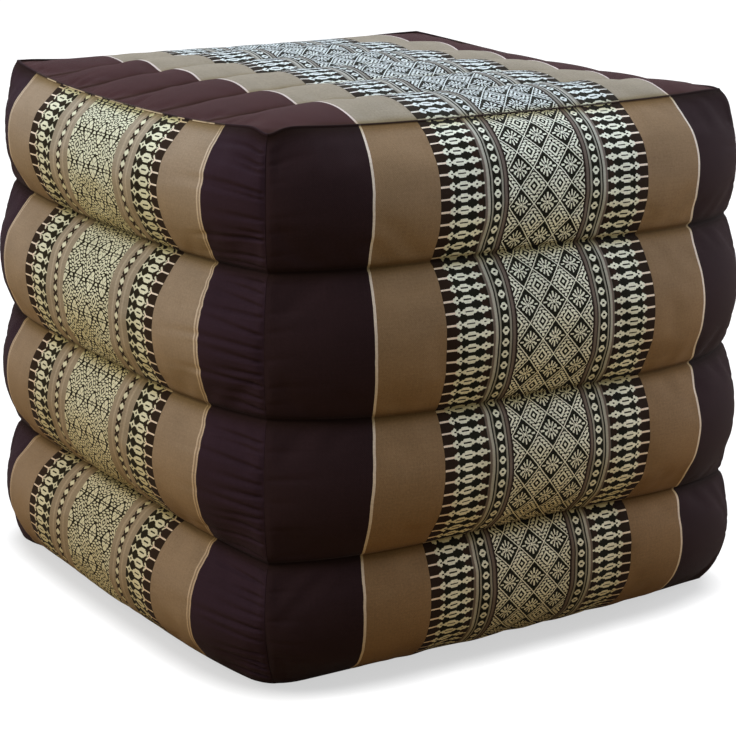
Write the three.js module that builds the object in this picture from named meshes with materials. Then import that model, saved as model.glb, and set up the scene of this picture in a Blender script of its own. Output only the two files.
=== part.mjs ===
// A soft cube pouf. Six square cloths, each sewn into stuffed channels, are joined edge to edge:
// a front, a back, a left and a right panel, a top and a bottom. Each panel is one filled solid
// that runs in to the heart of the cube, so that together they are the whole stuffed body.
// Sizes are in millimetres, +Z is up, and the origin is in the middle of the underside.
// The front panel faces -Y and the left one faces -X.
import * as THREE from "three";

// ---- Driving sizes ---------------------------------------------------------------------------

// The seams and the sewn creases that run round the four sides, from the floor up.
//   height: of the line at the upright seams
//   half:   from the pouf's middle to the upright seams, along X and along Y
//   bow:    how much further out the line runs in the middle of a panel
//   dip:    how much lower the line hangs in the middle of a panel
const SIDE_LINES = [
  { line: "bottom seam", height: 4, half: 178, bowFront: 2, bowSide: 12, dipFront: 0, dipSide: 0 },
  { line: "low crease", height: 86, half: 181, bowFront: 35, bowSide: 9, dipFront: -8, dipSide: -4 },
  { line: "middle crease", height: 178, half: 181, bowFront: 41, bowSide: 21, dipFront: -1, dipSide: 0 },
  { line: "high crease", height: 267, half: 179, bowFront: 33, bowSide: 10, dipFront: -3, dipSide: 4 },
  { line: "top seam", height: 350, half: 174, bowFront: 6, bowSide: 9, dipFront: 2, dipSide: 6 },
];

// The stuffed channels between those lines: how far each one stands proud in the middle of a front
// and of a side panel, and at the upright seams.
const SIDE_CHANNELS = [
  { channel: "lowest", puffFront: 23, puffSide: 23, puffSeam: 11 },
  { channel: "second", puffFront: 19, puffSide: 19, puffSeam: 8 },
  { channel: "third", puffFront: 17, puffSide: 19, puffSeam: 7 },
  { channel: "highest", puffFront: 19, puffSide: 21, puffSeam: 8 },
];

// The top panel's channels run along X. Their widths count from the front seam to the back one.
const TOP_CHANNELS = [
  { width: 66, puff: 9 },
  { width: 57, puff: 6 },
  { width: 56, puff: 6 },
  { width: 56, puff: 6 },
  { width: 57, puff: 6 },
  { width: 62, puff: 3 },
];
const TOP_CROWN = 5; // how far the creases of the top rise above its seam in the middle

const FOOT_SHARE = 0.94; // share of the bottom's half width that lies flat on the floor
const ALLOWANCE = { rise: 2.5, thickness: 1.6 }; // the turned-up edge of cloth along the top seam
const CLOTH_GAP = 0.35; // between two panels, at their seams and all the way in
const STEPS = { across: 26, channel: 6, topAcross: 26, topChannel: 5, bottom: 12 };

// How late towards a corner each change of the cloth sets in: a higher power, a sharper corner.
const POWERS = { bow: 4, turn: 4, puff: 6 };
const END_CROWDING = 0.25; // how much closer together the columns of points get near the seams

// Colours of the cloths, by what most of each panel shows.
const CLOTH_COLOURS = { front: "#6f5f4b", side: "#7d6d52", top: "#80766a", bottom: "#3a2729" };
const CLOTH_ROUGHNESS = 0.92;

// ---- Shape of the cloth ----------------------------------------------------------------------

const topSeam = SIDE_LINES.at(-1);
const bottomSeam = SIDE_LINES[0];
const heartHeight = topSeam.height / 2;

const mix = (a, b, share) => a + (b - a) * share;

/** How full a bowed line is at s, which runs from -1 to 1 between two corners. */
const fullness = (s) => 1 - s ** POWERS.bow;

/** Evenly spread places from -1 to 1, drawn closer together near the two ends. */
const closerAtEnds = (place) => place + END_CROWDING * (place - place ** 3);

/** A point of a circular arc over a chord from 0 to 1: its place along the chord and its rise. */
function arcPoint(step, steps, chord, sagitta) {
  const reach = 2 * Math.atan2(2 * sagitta, chord);
  const angle = mix(-reach, reach, step / steps);
  const radius = chord / 2 / Math.sin(reach);
  return {
    along: 0.5 + Math.sin(angle) / Math.sin(reach) / 2,
    rise: radius * (Math.cos(angle) - Math.cos(reach)),
  };
}

/** A line's point at s on a panel that faces -Y, as across (X), out (-Y) and up (Z). */
function linePoint(line, side, s) {
  const bow = line["bow" + side];
  return {
    across: s * (line.half - CLOTH_GAP / Math.SQRT2),
    out: line.half + bow * fullness(s),
    up: line.height - line["dip" + side] * (1 - s * s),
    turn: Math.atan((POWERS.bow * bow * s ** (POWERS.bow - 1)) / line.half),
  };
}

/** A point on the channel over line number index, step steps up from it. */
function channelPoint(index, side, s, step) {
  const low = linePoint(SIDE_LINES[index], side, s);
  const high = linePoint(SIDE_LINES[index + 1], side, s);
  const lean = Math.atan2(low.out - high.out, high.up - low.up);
  const chord = Math.hypot(high.out - low.out, high.up - low.up);
  const channel = SIDE_CHANNELS[index];
  const puff = mix(channel["puff" + side], channel.puffSeam, s ** POWERS.puff);
  const arc = arcPoint(step, STEPS.channel, chord, puff);
  // The cloth turns towards the corner, and at the seam it faces along the cube's diagonal.
  const alongDiagonal = (Math.sign(s) * Math.PI) / 4;
  const turn = mix(mix(low.turn, high.turn, arc.along), alongDiagonal, s ** POWERS.turn);
  return new THREE.Vector3(
    mix(low.across, high.across, arc.along) + arc.rise * Math.cos(lean) * Math.sin(turn),
    -mix(low.out, high.out, arc.along) - arc.rise * Math.cos(lean) * Math.cos(turn),
    mix(low.up, high.up, arc.along) + arc.rise * Math.sin(lean),
  );
}

/** The turned-up edge above the top seam at s: its outer edge, its inner edge and its foot. */
function allowancePoints(side, s) {
  const outer = linePoint(topSeam, side, s);
  const inner = linePoint({ ...topSeam, half: topSeam.half - ALLOWANCE.thickness }, side, s);
  return [
    new THREE.Vector3(outer.across, -outer.out, outer.up + ALLOWANCE.rise),
    new THREE.Vector3(inner.across, -inner.out, inner.up + ALLOWANCE.rise),
    new THREE.Vector3(inner.across, -inner.out, inner.up),
  ];
}

/** The cloth of a side panel that faces -Y: one column of points for each place across it. */
function sideColumns(side) {
  return Array.from({ length: STEPS.across + 1 }, (_, column) => {
    const s = closerAtEnds(mix(-1, 1, column / STEPS.across));
    const points = SIDE_CHANNELS.flatMap((_, index) =>
      Array.from({ length: STEPS.channel }, (_, step) => channelPoint(index, side, s, step)),
    );
    points.push(channelPoint(SIDE_CHANNELS.length - 1, side, s, STEPS.channel));
    return points.concat(allowancePoints(side, s));
  });
}

/** The cloth of the top: one column of points for each place along its channels. */
function topColumns() {
  const half = topSeam.half - ALLOWANCE.thickness - CLOTH_GAP * Math.SQRT2;
  const total = TOP_CHANNELS.reduce((sum, channel) => sum + channel.width, 0);
  return Array.from({ length: STEPS.topAcross + 1 }, (_, column) => {
    const u = closerAtEnds(mix(-1, 1, column / STEPS.topAcross));
    const topPoint = (v, rise) =>
      new THREE.Vector3(
        u * (half + topSeam.bowSide * fullness(v)),
        v * (half + topSeam.bowFront * fullness(u)),
        topSeam.height -
          topSeam.dipFront * (1 - u * u) * v * v -
          topSeam.dipSide * (1 - v * v) * u * u +
          TOP_CROWN * fullness(u) * fullness(v) +
          rise * (1 - u ** POWERS.puff),
      );
    const points = [];
    let start = 0;
    for (const { width, puff } of TOP_CHANNELS) {
      for (let step = 0; step < STEPS.topChannel; step++) {
        const arc = arcPoint(step, STEPS.topChannel, width, puff);
        points.push(topPoint(mix(-1, 1, (start + arc.along * width) / total), arc.rise));
      }
      start += width;
    }
    return points.concat(topPoint(1, 0));
  });
}

/** The cloth of the bottom: flat on the floor, and rising to its seam at the edges. */
function bottomColumns() {
  const half = bottomSeam.half - CLOTH_GAP * Math.SQRT2;
  const flatSteps = STEPS.bottom - 2;
  // The outermost step on each side is the strip that rises to the seam.
  const place = (step) =>
    step === 0 || step === STEPS.bottom
      ? Math.sign(step - 1)
      : FOOT_SHARE * mix(-1, 1, (step - 1) / flatSteps);
  const steps = Array.from({ length: STEPS.bottom + 1 }, (_, step) => step);
  return steps.map((column) => {
    const u = -place(column);
    return steps.map((row) => {
      const v = place(row);
      const isEdge = Math.max(Math.abs(u), Math.abs(v)) === 1;
      return new THREE.Vector3(
        u * (half + bottomSeam.bowSide * fullness(v)),
        v * (half + bottomSeam.bowFront * fullness(u)),
        isEdge ? bottomSeam.height : 0,
      );
    });
  });
}

// ---- Solids ----------------------------------------------------------------------------------

/**
 * A filled panel: its cloth, given as columns of points, and straight sides that run from the
 * cloth's edge to the heart. Seen from outside, columns go from left to right and points upwards.
 * Points past the seam row outline a turned-up edge, which stands on the seam.
 */
function filledPanel(columns, heart, seamRow = columns[0].length - 1) {
  const rows = columns[0].length;
  const points = [...columns.flat(), heart];
  const heartIndex = points.length - 1;
  const at = (column, row) => column * rows + row;
  const triangles = [];
  for (let column = 0; column + 1 < columns.length; column++) {
    for (let row = 0; row + 1 < rows; row++) {
      const corners = [at(column, row), at(column + 1, row), at(column + 1, row + 1), at(column, row + 1)];
      triangles.push(corners[0], corners[1], corners[2], corners[0], corners[2], corners[3]);
    }
    triangles.push(at(column + 1, 0), at(column, 0), heartIndex);
    triangles.push(at(column, rows - 1), at(column + 1, rows - 1), heartIndex);
  }
  // The two ends of the panel as triangles of rows, where one row past the last is the heart.
  const endFaces = [];
  for (let row = 0; row < seamRow; row++) endFaces.push([row, row + 1, rows]);
  for (let row = seamRow + 1; row + 1 < rows; row++) endFaces.push([seamRow, row, row + 1]);
  if (seamRow + 1 < rows) endFaces.push([seamRow, rows - 1, rows]);
  const last = columns.length - 1;
  const endCorner = (column, row) => (row === rows ? heartIndex : at(column, row));
  for (const [a, b, c] of endFaces) {
    triangles.push(endCorner(0, a), endCorner(0, b), endCorner(0, c));
    triangles.push(endCorner(last, c), endCorner(last, b), endCorner(last, a));
  }
  const geometry = new THREE.BufferGeometry().setFromPoints(points);
  geometry.setIndex(triangles);
  geometry.computeVertexNormals();
  return geometry;
}

/** A named panel of the pouf in its own cloth. */
function panel(name, colour, geometry, turn = 0) {
  const cloth = new THREE.MeshStandardMaterial({ color: colour, roughness: CLOTH_ROUGHNESS, metalness: 0 });
  const mesh = new THREE.Mesh(geometry, cloth);
  mesh.name = name;
  mesh.rotation.z = turn;
  return mesh;
}

// ---- The pouf --------------------------------------------------------------------------------

// Each panel's tip stops just short of the heart, so that the six tips stay a gap apart.
const sideHeart = new THREE.Vector3(0, -CLOTH_GAP, heartHeight);
const topHeart = new THREE.Vector3(0, 0, heartHeight + CLOTH_GAP);
const bottomHeart = new THREE.Vector3(0, 0, heartHeight - CLOTH_GAP);

const SIDE_PANELS = [
  { name: "panel_front", side: "Front", colour: CLOTH_COLOURS.front, turn: 0 },
  { name: "panel_right", side: "Side", colour: CLOTH_COLOURS.side, turn: Math.PI / 2 },
  { name: "panel_back", side: "Front", colour: CLOTH_COLOURS.front, turn: Math.PI },
  { name: "panel_left", side: "Side", colour: CLOTH_COLOURS.side, turn: -Math.PI / 2 },
];

const pouf = new THREE.Group();
const topSeamRow = SIDE_CHANNELS.length * STEPS.channel;
for (const { name, side, colour, turn } of SIDE_PANELS) {
  pouf.add(panel(name, colour, filledPanel(sideColumns(side), sideHeart, topSeamRow), turn));
}
pouf.add(panel("panel_top", CLOTH_COLOURS.top, filledPanel(topColumns(), topHeart)));
pouf.add(panel("panel_bottom", CLOTH_COLOURS.bottom, filledPanel(bottomColumns(), bottomHeart)));

export default pouf;
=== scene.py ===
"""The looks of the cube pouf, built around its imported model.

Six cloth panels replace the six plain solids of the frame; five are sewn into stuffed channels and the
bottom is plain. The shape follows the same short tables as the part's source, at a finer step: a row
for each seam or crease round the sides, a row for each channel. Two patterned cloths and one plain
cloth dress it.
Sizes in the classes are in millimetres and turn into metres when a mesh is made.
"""

from __future__ import annotations

import logging
import math
from dataclasses import dataclass, field
from enum import Enum
from typing import Sequence, Union

import bpy
import numpy as np
from mathutils import Matrix, Vector


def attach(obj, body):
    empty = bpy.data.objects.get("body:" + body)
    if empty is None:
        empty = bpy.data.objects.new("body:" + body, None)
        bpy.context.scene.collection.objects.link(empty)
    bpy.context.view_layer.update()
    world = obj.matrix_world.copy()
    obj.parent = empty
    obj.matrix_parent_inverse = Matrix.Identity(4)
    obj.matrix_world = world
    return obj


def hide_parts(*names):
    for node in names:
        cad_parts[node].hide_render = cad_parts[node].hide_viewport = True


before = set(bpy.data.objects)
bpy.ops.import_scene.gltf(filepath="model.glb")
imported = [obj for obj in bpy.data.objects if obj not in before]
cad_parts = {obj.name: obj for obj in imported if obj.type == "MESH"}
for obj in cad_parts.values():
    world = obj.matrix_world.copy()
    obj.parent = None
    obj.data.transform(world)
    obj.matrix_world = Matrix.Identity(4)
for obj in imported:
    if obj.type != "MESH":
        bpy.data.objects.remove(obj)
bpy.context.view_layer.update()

LOG = logging.getLogger("pouf")
MM = 0.001
BODY = "root"
CLOTH_MAP = "Cloth"
BAKE_MAP = "OFBake"
CREASE_DATA = "crease"
EDGE_DATA = "edge"
CLOTH_GAP = 0.16  # between two panels at their seams, and all the way in to the heart
COLUMN_CROWDING = 0.32  # how much closer together the columns lie near the seams
ROW_CROWDING = 0.25  # the same for a channel's rows near its creases
CREASE_SHARPNESS = 6  # how narrow the sewn groove is, against the whole of a crease
DIAGONAL = math.sqrt(2)

Numbers = Union[float, np.ndarray]
Colour = tuple[float, float, float, float]
Socket = bpy.types.NodeSocket
Value = Union[Socket, float]


def linear(colour: str) -> Colour:
    """Turns a colour such as "#6f5f4b" into the linear one that a shader takes, with an alpha of 1."""
    parts = [int(colour[i : i + 2], 16) / 255 for i in (1, 3, 5)]
    parts = [p / 12.92 if p <= 0.04045 else ((p + 0.055) / 1.055) ** 2.4 for p in parts]
    return (*parts, 1.0)


def mix(low: Numbers, high: Numbers, share: Numbers) -> Numbers:
    """Goes from low to high as share goes from 0 to 1."""
    return low + (high - low) * share


def closeness(distance: Numbers, reach: float) -> Numbers:
    """Is 1 where a distance is 0, and fades as a bell within about twice its reach."""
    return np.exp(-((distance / reach) ** 2))


def rising(value: Numbers, start: float, end: float) -> Numbers:
    """Goes from 0 at start to 1 at end, which may be the lower of the two, and is level beyond."""
    return np.clip((value - start) / (end - start), 0, 1)


def grid_faces(at: np.ndarray) -> np.ndarray:
    """Lists the four-cornered faces between points that are numbered in columns and rows."""
    return np.stack([at[:-1, :-1], at[1:, :-1], at[1:, 1:], at[:-1, 1:]], axis=-1).reshape(-1, 4)


# ---- Shape of the cloth ----------------------------------------------------------------------


class Facing(Enum):
    """Which row of sizes a side panel follows."""

    FRONT = "front"
    SIDE = "side"


@dataclass(frozen=True)
class Line:
    """A seam or sewn crease that runs round the four sides.

    Each pair of sizes is for the front or back panel and for the left or right one.

    Attributes:
        height: Height of its ends, at the upright seams.
        half: Half the distance between two of its ends.
        bow: How far its middle stands out from its ends.
        dip: How far its middle hangs below its ends.
        lean: How far the pattern's middle line is off to the right at its height.
    """

    height: float
    half: float
    bow: tuple[float, float]
    dip: tuple[float, float]
    lean: tuple[float, float]

    def pick(self, facing: Facing) -> tuple[float, float, float]:
        """Gives the bow, dip and lean on a panel that faces this way."""
        index = 0 if facing is Facing.FRONT else 1
        return self.bow[index], self.dip[index], self.lean[index]


@dataclass(frozen=True)
class Channel:
    """How far a stuffed channel stands proud on a front, on a side and at the upright seams."""

    puff_front: float
    puff_side: float
    puff_seam: float


@dataclass(frozen=True)
class CornerEase:
    """How the cloth is drawn in and rounded at the front left corner, at one height.

    Attributes:
        height: Height of the corner.
        half: Half the distance between two corners.
        radius: How round the corner becomes, seen from above.
        sharpness: How steeply its two sides leave the corner before that.
        reach: How far up or down the rounding fades away.
        drop: How far the corner itself sinks.
        drop_reach: How far around it the cloth sinks with it.
        inward: How many times the radius the rounding reaches in from the corner.
    """

    height: float
    half: float
    radius: float
    sharpness: float
    reach: float
    drop: float = 0.0
    drop_reach: float = 14.0
    inward: float = 3.0

    def move(self, points: np.ndarray) -> np.ndarray:
        """Gives the points moved by this easing."""
        flat = np.abs(points[..., :2])
        aside = np.abs(flat[..., 0] - flat[..., 1]) / DIAGONAL
        outward = flat.sum(-1) / DIAGONAL
        swing = math.atan(self.sharpness)
        held = np.minimum(aside, self.radius * math.sin(swing))
        depth = self.radius * (1 / math.cos(swing) - 1)
        pull = depth + self.radius - np.sqrt(self.radius**2 - held**2) - self.sharpness * held
        near = rising(np.abs(points[..., 2] - self.height), self.reach, 0)
        near = near * near * (3 - 2 * near)
        near = near * ((points[..., 0] < 0) & (points[..., 1] < 0))
        corner = self.half * DIAGONAL
        pull = pull * near * rising(outward, corner - self.inward * self.radius, corner)
        tip = np.linalg.norm(flat - self.half, axis=-1)
        sunk = self.drop * closeness(tip, self.drop_reach) * near
        way = np.sign(points[..., :2]) / DIAGONAL
        return points - np.concatenate([way * pull[..., None], sunk[..., None]], axis=-1)


@dataclass(frozen=True)
class CornerShift:
    """A small move of the cloth around one upright seam, where the filling sits unevenly.

    Attributes:
        corner: Which seam, as the signs of its X and Y.
        height: Where along it the move is greatest.
        reach: How far up or down it fades away.
        around: How far away from the seam it fades away.
        move: The move of the seam itself.
    """

    corner: tuple[int, int]
    height: float
    reach: float
    around: float
    move: tuple[float, float, float]

    def shift(self, points: np.ndarray, half: float) -> np.ndarray:
        """Gives the points moved; half is half the distance between two seams."""
        aside = np.linalg.norm(points[..., :2] - np.array(self.corner) * half, axis=-1)
        share = closeness(aside, self.around) * closeness(points[..., 2] - self.height, self.reach)
        return points + share[..., None] * self.move


@dataclass(frozen=True)
class Puckers:
    """Short shallow folds that run out from a gathered seam.

    Attributes:
        count: How many lie along one channel.
        depth: How deep they are.
        width: Half the width of a fold.
        length: How long the shortest and the longest are.
        slant: How much a fold climbs for each millimetre away from the seam.
        seed: Chooses their places.
        far_end: Share of the depth at the panel's left end.
        places: Between which shares of its own part of the seam a fold may start.
        slants: The least and the most of the slant that a fold takes.
        depths: The same for the depth.
        narrow: Share of its width that a fold has at the seam.
        curl: How much a fold turns down again, for each square millimetre.
        ridge: How high the cloth stands up on both sides of a fold.
        still: How far from the seam the cloth lies still.
    """

    count: int
    depth: float
    width: float
    length: tuple[float, float]
    slant: float
    seed: int
    far_end: float = 1.0
    places: tuple[float, float] = (0.2, 0.8)
    slants: tuple[float, float] = (0.4, 1.6)
    depths: tuple[float, float] = (0.55, 1.1)
    narrow: float = 0.8
    curl: float = 0.002
    ridge: float = 0.9
    still: float = 2.0

    def rise(
        self, away: np.ndarray, along: np.ndarray, span: tuple[float, float], seed: int
    ) -> np.ndarray:
        """Gives how far each point moves out.

        Args:
            away: How far each point is from the seam.
            along: Where each point is along it.
            span: Where the channel begins and ends along the seam.
            seed: Chooses the places in this channel.

        Returns:
            The rise of each point, which is 0 on the seam itself.
        """
        random = np.random.default_rng(self.seed * 100 + seed)
        rise = np.zeros(np.broadcast(away, along).shape)
        for index in range(self.count):
            place = mix(*span, (index + random.uniform(*self.places)) / self.count)
            slope = self.slant * random.uniform(*self.slants)
            length = random.uniform(*self.length)
            depth = self.depth * random.uniform(*self.depths)
            width = self.width * (self.narrow + away / length)
            off = (along - place - slope * away + self.curl * away**2) / width
            rise -= depth * (1 - self.ridge * off**2) * np.exp(-(off**2)) * closeness(away, length)
        return rise * (1 - closeness(away, self.still))


@dataclass(frozen=True)
class PoufShape:
    """The sizes that all the panels share, from the floor up.

    Attributes:
        lines: The seams and creases round the sides.
        channels: The channels between them.
        top_channels: Width and puff of each channel on top, from the front to the back.
        top_skew: How far a crease on top is drawn to the front at its right end, and to the
            back at its left one.
        top_crown: How much higher the middle of the top is than its seams.
        foot_share: Share of the underside that lies on the floor.
        edge_rise: Height of the seam's turned-up edge.
        edge_thickness: Thickness of that edge.
        edge_profile: The edge's outline, in and up, from its outside over to its inside.
        bow_power: How late a bowed line turns in toward its ends.
        turn_power: How late a channel turns toward the corner.
        puff_power: How late a channel takes its puff at the seams.
        crease_depth: Depth of a crease's sewn groove.
        groove_depth: Depth of the groove along an upright seam.
        groove_reach: Half the width of that groove.
        corners: How the front left corner is rounded.
        corner_shifts: Where the upright seams sit unevenly.
    """

    lines: tuple[Line, ...] = (
        Line(4, 178, (2, 12), (0, 0), (3, -10.5)),
        Line(86, 181, (35, 9), (-8, -4), (-5, -1.5)),
        Line(178, 181, (41, 21), (-1, 0), (-1, 6.4)),
        Line(267, 179, (33, 10), (-3, 4), (0, 1)),
        Line(350, 174, (6, 9), (2, 6), (10, -1)),
    )
    channels: tuple[Channel, ...] = (
        Channel(23, 23, 11),
        Channel(19, 19, 8),
        Channel(17, 19, 7),
        Channel(19, 21, 8),
    )
    top_channels: tuple[tuple[float, float], ...] = (
        (61.5, 6.5),
        (57, 4.6),
        (61, 5.2),
        (56, 5.2),
        (57, 5.2),
        (61.5, 3),
    )
    top_skew: float = 13.0
    top_crown: float = 5.1
    foot_share: float = 0.94
    edge_rise: float = 1.3
    edge_thickness: float = 1.6
    edge_profile: tuple[tuple[float, float], ...] = (
        (0.0, 0.9),
        (0.05, 1.7),
        (0.3, 2.3),
        (0.8, 2.5),
        (1.3, 2.3),
        (1.6, 1.7),
        (1.6, 0.6),
        (1.6, 0.0),
    )
    bow_power: int = 4
    turn_power: int = 4
    puff_power: int = 6
    crease_depth: float = 0.9
    groove_depth: float = 0.25
    groove_reach: float = 1.5
    corners: tuple[CornerEase, ...] = (
        CornerEase(height=350, half=174, radius=12, sharpness=0.5, reach=60, drop=4.4, drop_reach=9.5),
        CornerEase(height=0, half=178, radius=25, sharpness=0.8, reach=60),
    )
    corner_shifts: tuple[CornerShift, ...] = (
        CornerShift((-1, 1), 354, 20, 26, (-2.9, 2.9, 1.6)),
        CornerShift((-1, 1), 356, 8, 9, (1.6, -1.6, -0.3)),
        CornerShift((-1, 1), 302, 20, 45, (2.2, -2.2, 0)),
        CornerShift((-1, 1), 210, 16, 45, (1.0, -1.0, 0)),
        CornerShift((-1, 1), 135, 28, 45, (1.5, -1.5, 0)),
        CornerShift((-1, 1), 52, 16, 45, (1.2, -1.2, 0)),
        CornerShift((-1, 1), 0, 14, 34, (-9, -10, -3.7)),
        CornerShift((-1, 1), 14, 14, 45, (-3, 0, 0)),
        CornerShift((1, 1), 350, 45, 80, (-5, 3, 2.6)),
        CornerShift((1, -1), 342, 12, 26, (0.9, -0.9, 1.0)),
        CornerShift((1, -1), 356, 8, 9, (-1.6, 1.6, -1.2)),
        CornerShift((1, -1), 84, 14, 40, (2.0, -2.0, 0)),
        CornerShift((1, -1), 0, 11, 34, (-2.6, 2.6, 0)),
        CornerShift((-1, -1), 350, 30, 40, (-2.4, 0.6, 1.5)),
        CornerShift((-1, -1), 200, 110, 30, (-0.9, 0.5, 0)),
    )

    @property
    def heart_height(self) -> float:
        """The height of the pouf's middle, where the filled panels meet."""
        return self.lines[-1].height / 2

    def fullness(self, s: np.ndarray) -> np.ndarray:
        """How full a bowed line is at s, which runs from -1 to 1 between two corners."""
        return 1 - s**self.bow_power

    def eased(self, points: np.ndarray) -> np.ndarray:
        """Rounds and shifts the corners, where three cloths meet, and keeps them above the floor."""
        for corner in self.corners:
            points = corner.move(points)
        for corner in self.corner_shifts:
            points = corner.shift(points, self.lines[-1].half)
        points[..., 2] = np.maximum(points[..., 2], 0.0)
        return points


def arc_points(steps: np.ndarray, chord: Numbers, sagitta: Numbers) -> tuple[np.ndarray, np.ndarray]:
    """Gives the points of a circular arc over a chord.

    Args:
        steps: Places along the arc from 0 to 1, even in angle.
        chord: Length of the chord.
        sagitta: Height of the arc's middle over the chord.

    Returns:
        The place along the chord from 0 to 1, and the rise over it.
    """
    reach = 2 * np.arctan2(2 * sagitta, chord)
    angle = mix(-reach, reach, steps)
    radius = chord / 2 / np.sin(reach)
    return 0.5 + np.sin(angle) / np.sin(reach) / 2, radius * (np.cos(angle) - np.cos(reach))


def crowded(steps: int, share: float) -> np.ndarray:
    """Gives places from -1 to 1, this many steps apart, closer together near the two ends."""
    places = np.linspace(-1, 1, steps + 1)
    return places + share * (places - places**3)


@dataclass
class ClothGrid:
    """A cloth as columns and rows of points, seen from outside, left to right and upwards.

    Attributes:
        points: Where each point is, in the pouf's own frame.
        cloth: Where each point is on the flat cloth, across and along.
        crease: How close each point is to a sewn crease or seam, from 0 to 1.
        seam_row: The last row before a turned-up edge.
    """

    points: np.ndarray
    cloth: np.ndarray
    crease: np.ndarray
    seam_row: int

    def normals(self) -> np.ndarray:
        """Gives the direction that the cloth faces at each point."""
        across = np.gradient(self.points, axis=0)
        along = np.gradient(self.points, axis=1)
        facing = np.cross(across, along)
        return facing / np.maximum(np.linalg.norm(facing, axis=2, keepdims=True), 1e-9)

    def push(self, rise: np.ndarray) -> None:
        """Moves each point out along its normal by a rise in millimetres."""
        self.points = self.points + self.normals() * rise[..., None]


# ---- Making a mesh from a grid ---------------------------------------------------------------


@dataclass
class FilledPiece:
    """Turns a cloth grid into a closed piece that runs in to a point at the pouf's heart.

    Attributes:
        name: Name of the piece.
        grid: Its cloth.
        heart: The inner point.
        evened: How much more evenly the bake map shares its space than the cloth does.
        margin: What the bake map leaves free at its sides and at its top.
        foot: Height of the strip along its lower edge that the hidden sides share.
        hidden_rows: Where in that strip the hidden sides begin and end.
    """

    name: str
    grid: ClothGrid
    heart: Sequence[float]
    evened: float = 0.02
    margin: float = 0.006
    foot: float = 0.02
    hidden_rows: tuple[float, float] = (0.002, 0.012)

    def faces(self) -> tuple[list[tuple[int, ...]], int]:
        """Lists the faces of the cloth, then those of the hidden sides.

        Returns:
            The faces, and how many of them are cloth.
        """
        columns, rows = self.grid.points.shape[:2]
        seam = self.grid.seam_row
        heart = columns * rows
        at = np.arange(columns * rows).reshape(columns, rows)
        faces = [tuple(face) for face in grid_faces(at).tolist()]
        count = len(faces)
        ring = [*at[:, 0], *at[-1, 1 : seam + 1]]
        if seam < rows - 1:
            ring.append(at[-1, -1])
        ring += [*at[-2::-1, -1], *at[0, seam:0:-1]]
        ring = [int(vertex) for vertex in ring]
        for start, end in zip(ring, ring[1:] + ring[:1]):
            faces.append((end, start, heart))
        if seam < rows - 1:
            faces.append(tuple(at[-1, seam:].tolist()))
            faces.append(tuple(at[0, : seam - 1 : -1].tolist()))
        return faces, count

    def bake_places(self) -> np.ndarray:
        """Lays the cloth out over nearly the whole of the bake map."""
        columns, rows = self.grid.points.shape[:2]
        flat = self.grid.cloth
        low = flat.reshape(-1, 2).min(0)
        span = flat.reshape(-1, 2).max(0) - low
        across, along = np.meshgrid(np.linspace(0, 1, columns), np.linspace(0, 1, rows), indexing="ij")
        share = mix((flat - low) / span, np.stack([across, along], axis=-1), self.evened)
        return mix(np.array([self.margin, self.foot]), 1 - self.margin, share)

    def make(self) -> bpy.types.Object:
        """Builds the object with its cloth map, its bake map and its crease data.

        Returns:
            The new object, linked to the scene.
        """
        points = np.concatenate([self.grid.points.reshape(-1, 3), np.array([self.heart], float)])
        faces, cloth_count = self.faces()
        mesh = bpy.data.meshes.new(self.name)
        mesh.from_pydata((points * MM).tolist(), [], faces)
        mesh.update()
        self._lay_maps(mesh, 4 * cloth_count)
        self._note_creases(mesh)
        mesh.polygons.foreach_set("use_smooth", np.arange(len(faces)) < cloth_count)
        self._sharpen_border(mesh, 4 * cloth_count)
        mesh.validate()
        piece = bpy.data.objects.new(self.name, mesh)
        bpy.context.scene.collection.objects.link(piece)
        return piece

    def _lay_maps(self, mesh: bpy.types.Mesh, hidden: int) -> None:
        """Adds the two maps; hidden is the first face corner of the hidden sides."""
        vertex = np.empty(len(mesh.loops), np.int32)
        mesh.loops.foreach_get("vertex_index", vertex)
        cloth = np.concatenate([self.grid.cloth.reshape(-1, 2), [[0.0, 0.0]]])[vertex]
        bake = np.concatenate([self.bake_places().reshape(-1, 2), [[0.5, 0.0]]])[vertex]
        turn = np.arange(len(vertex) - hidden)
        bake[hidden:, 0] = mix(self.margin, 1 - self.margin, turn / max(len(turn), 1))
        bake[hidden:, 1] = mix(*self.hidden_rows, vertex[hidden:] == len(mesh.vertices) - 1)
        for name, places in ((CLOTH_MAP, cloth), (BAKE_MAP, bake)):
            layer = mesh.uv_layers.new(name=name)
            layer.uv.foreach_set("vector", places.astype(np.float32).ravel())
        mesh.uv_layers.active = mesh.uv_layers[CLOTH_MAP]

    def _note_creases(self, mesh: bpy.types.Mesh) -> None:
        """Notes how close each point is to a crease, and how far over a turned-up edge it is."""
        edge = np.zeros(self.grid.crease.shape)
        edge_rows = edge.shape[1] - 1 - self.grid.seam_row
        edge[:, self.grid.seam_row + 1 :] = (np.arange(edge_rows) + 1) / max(edge_rows, 1)
        for label, values in ((CREASE_DATA, self.grid.crease), (EDGE_DATA, edge)):
            layer = mesh.attributes.new(label, "FLOAT", "POINT")
            layer.data.foreach_set("value", np.append(values.ravel(), 0.0).astype(np.float32))

    @staticmethod
    def _sharpen_border(mesh: bpy.types.Mesh, hidden: int) -> None:
        """Keeps the cloth's shading apart from that of the hidden sides."""
        corner_edge = np.empty(len(mesh.loops), np.int32)
        mesh.loops.foreach_get("edge_index", corner_edge)
        sharp = np.zeros(len(mesh.edges), bool)
        sharp[corner_edge[hidden:]] = True
        layer = mesh.attributes.new("sharp_edge", "BOOLEAN", "EDGE")
        layer.data.foreach_set("value", sharp)


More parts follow.
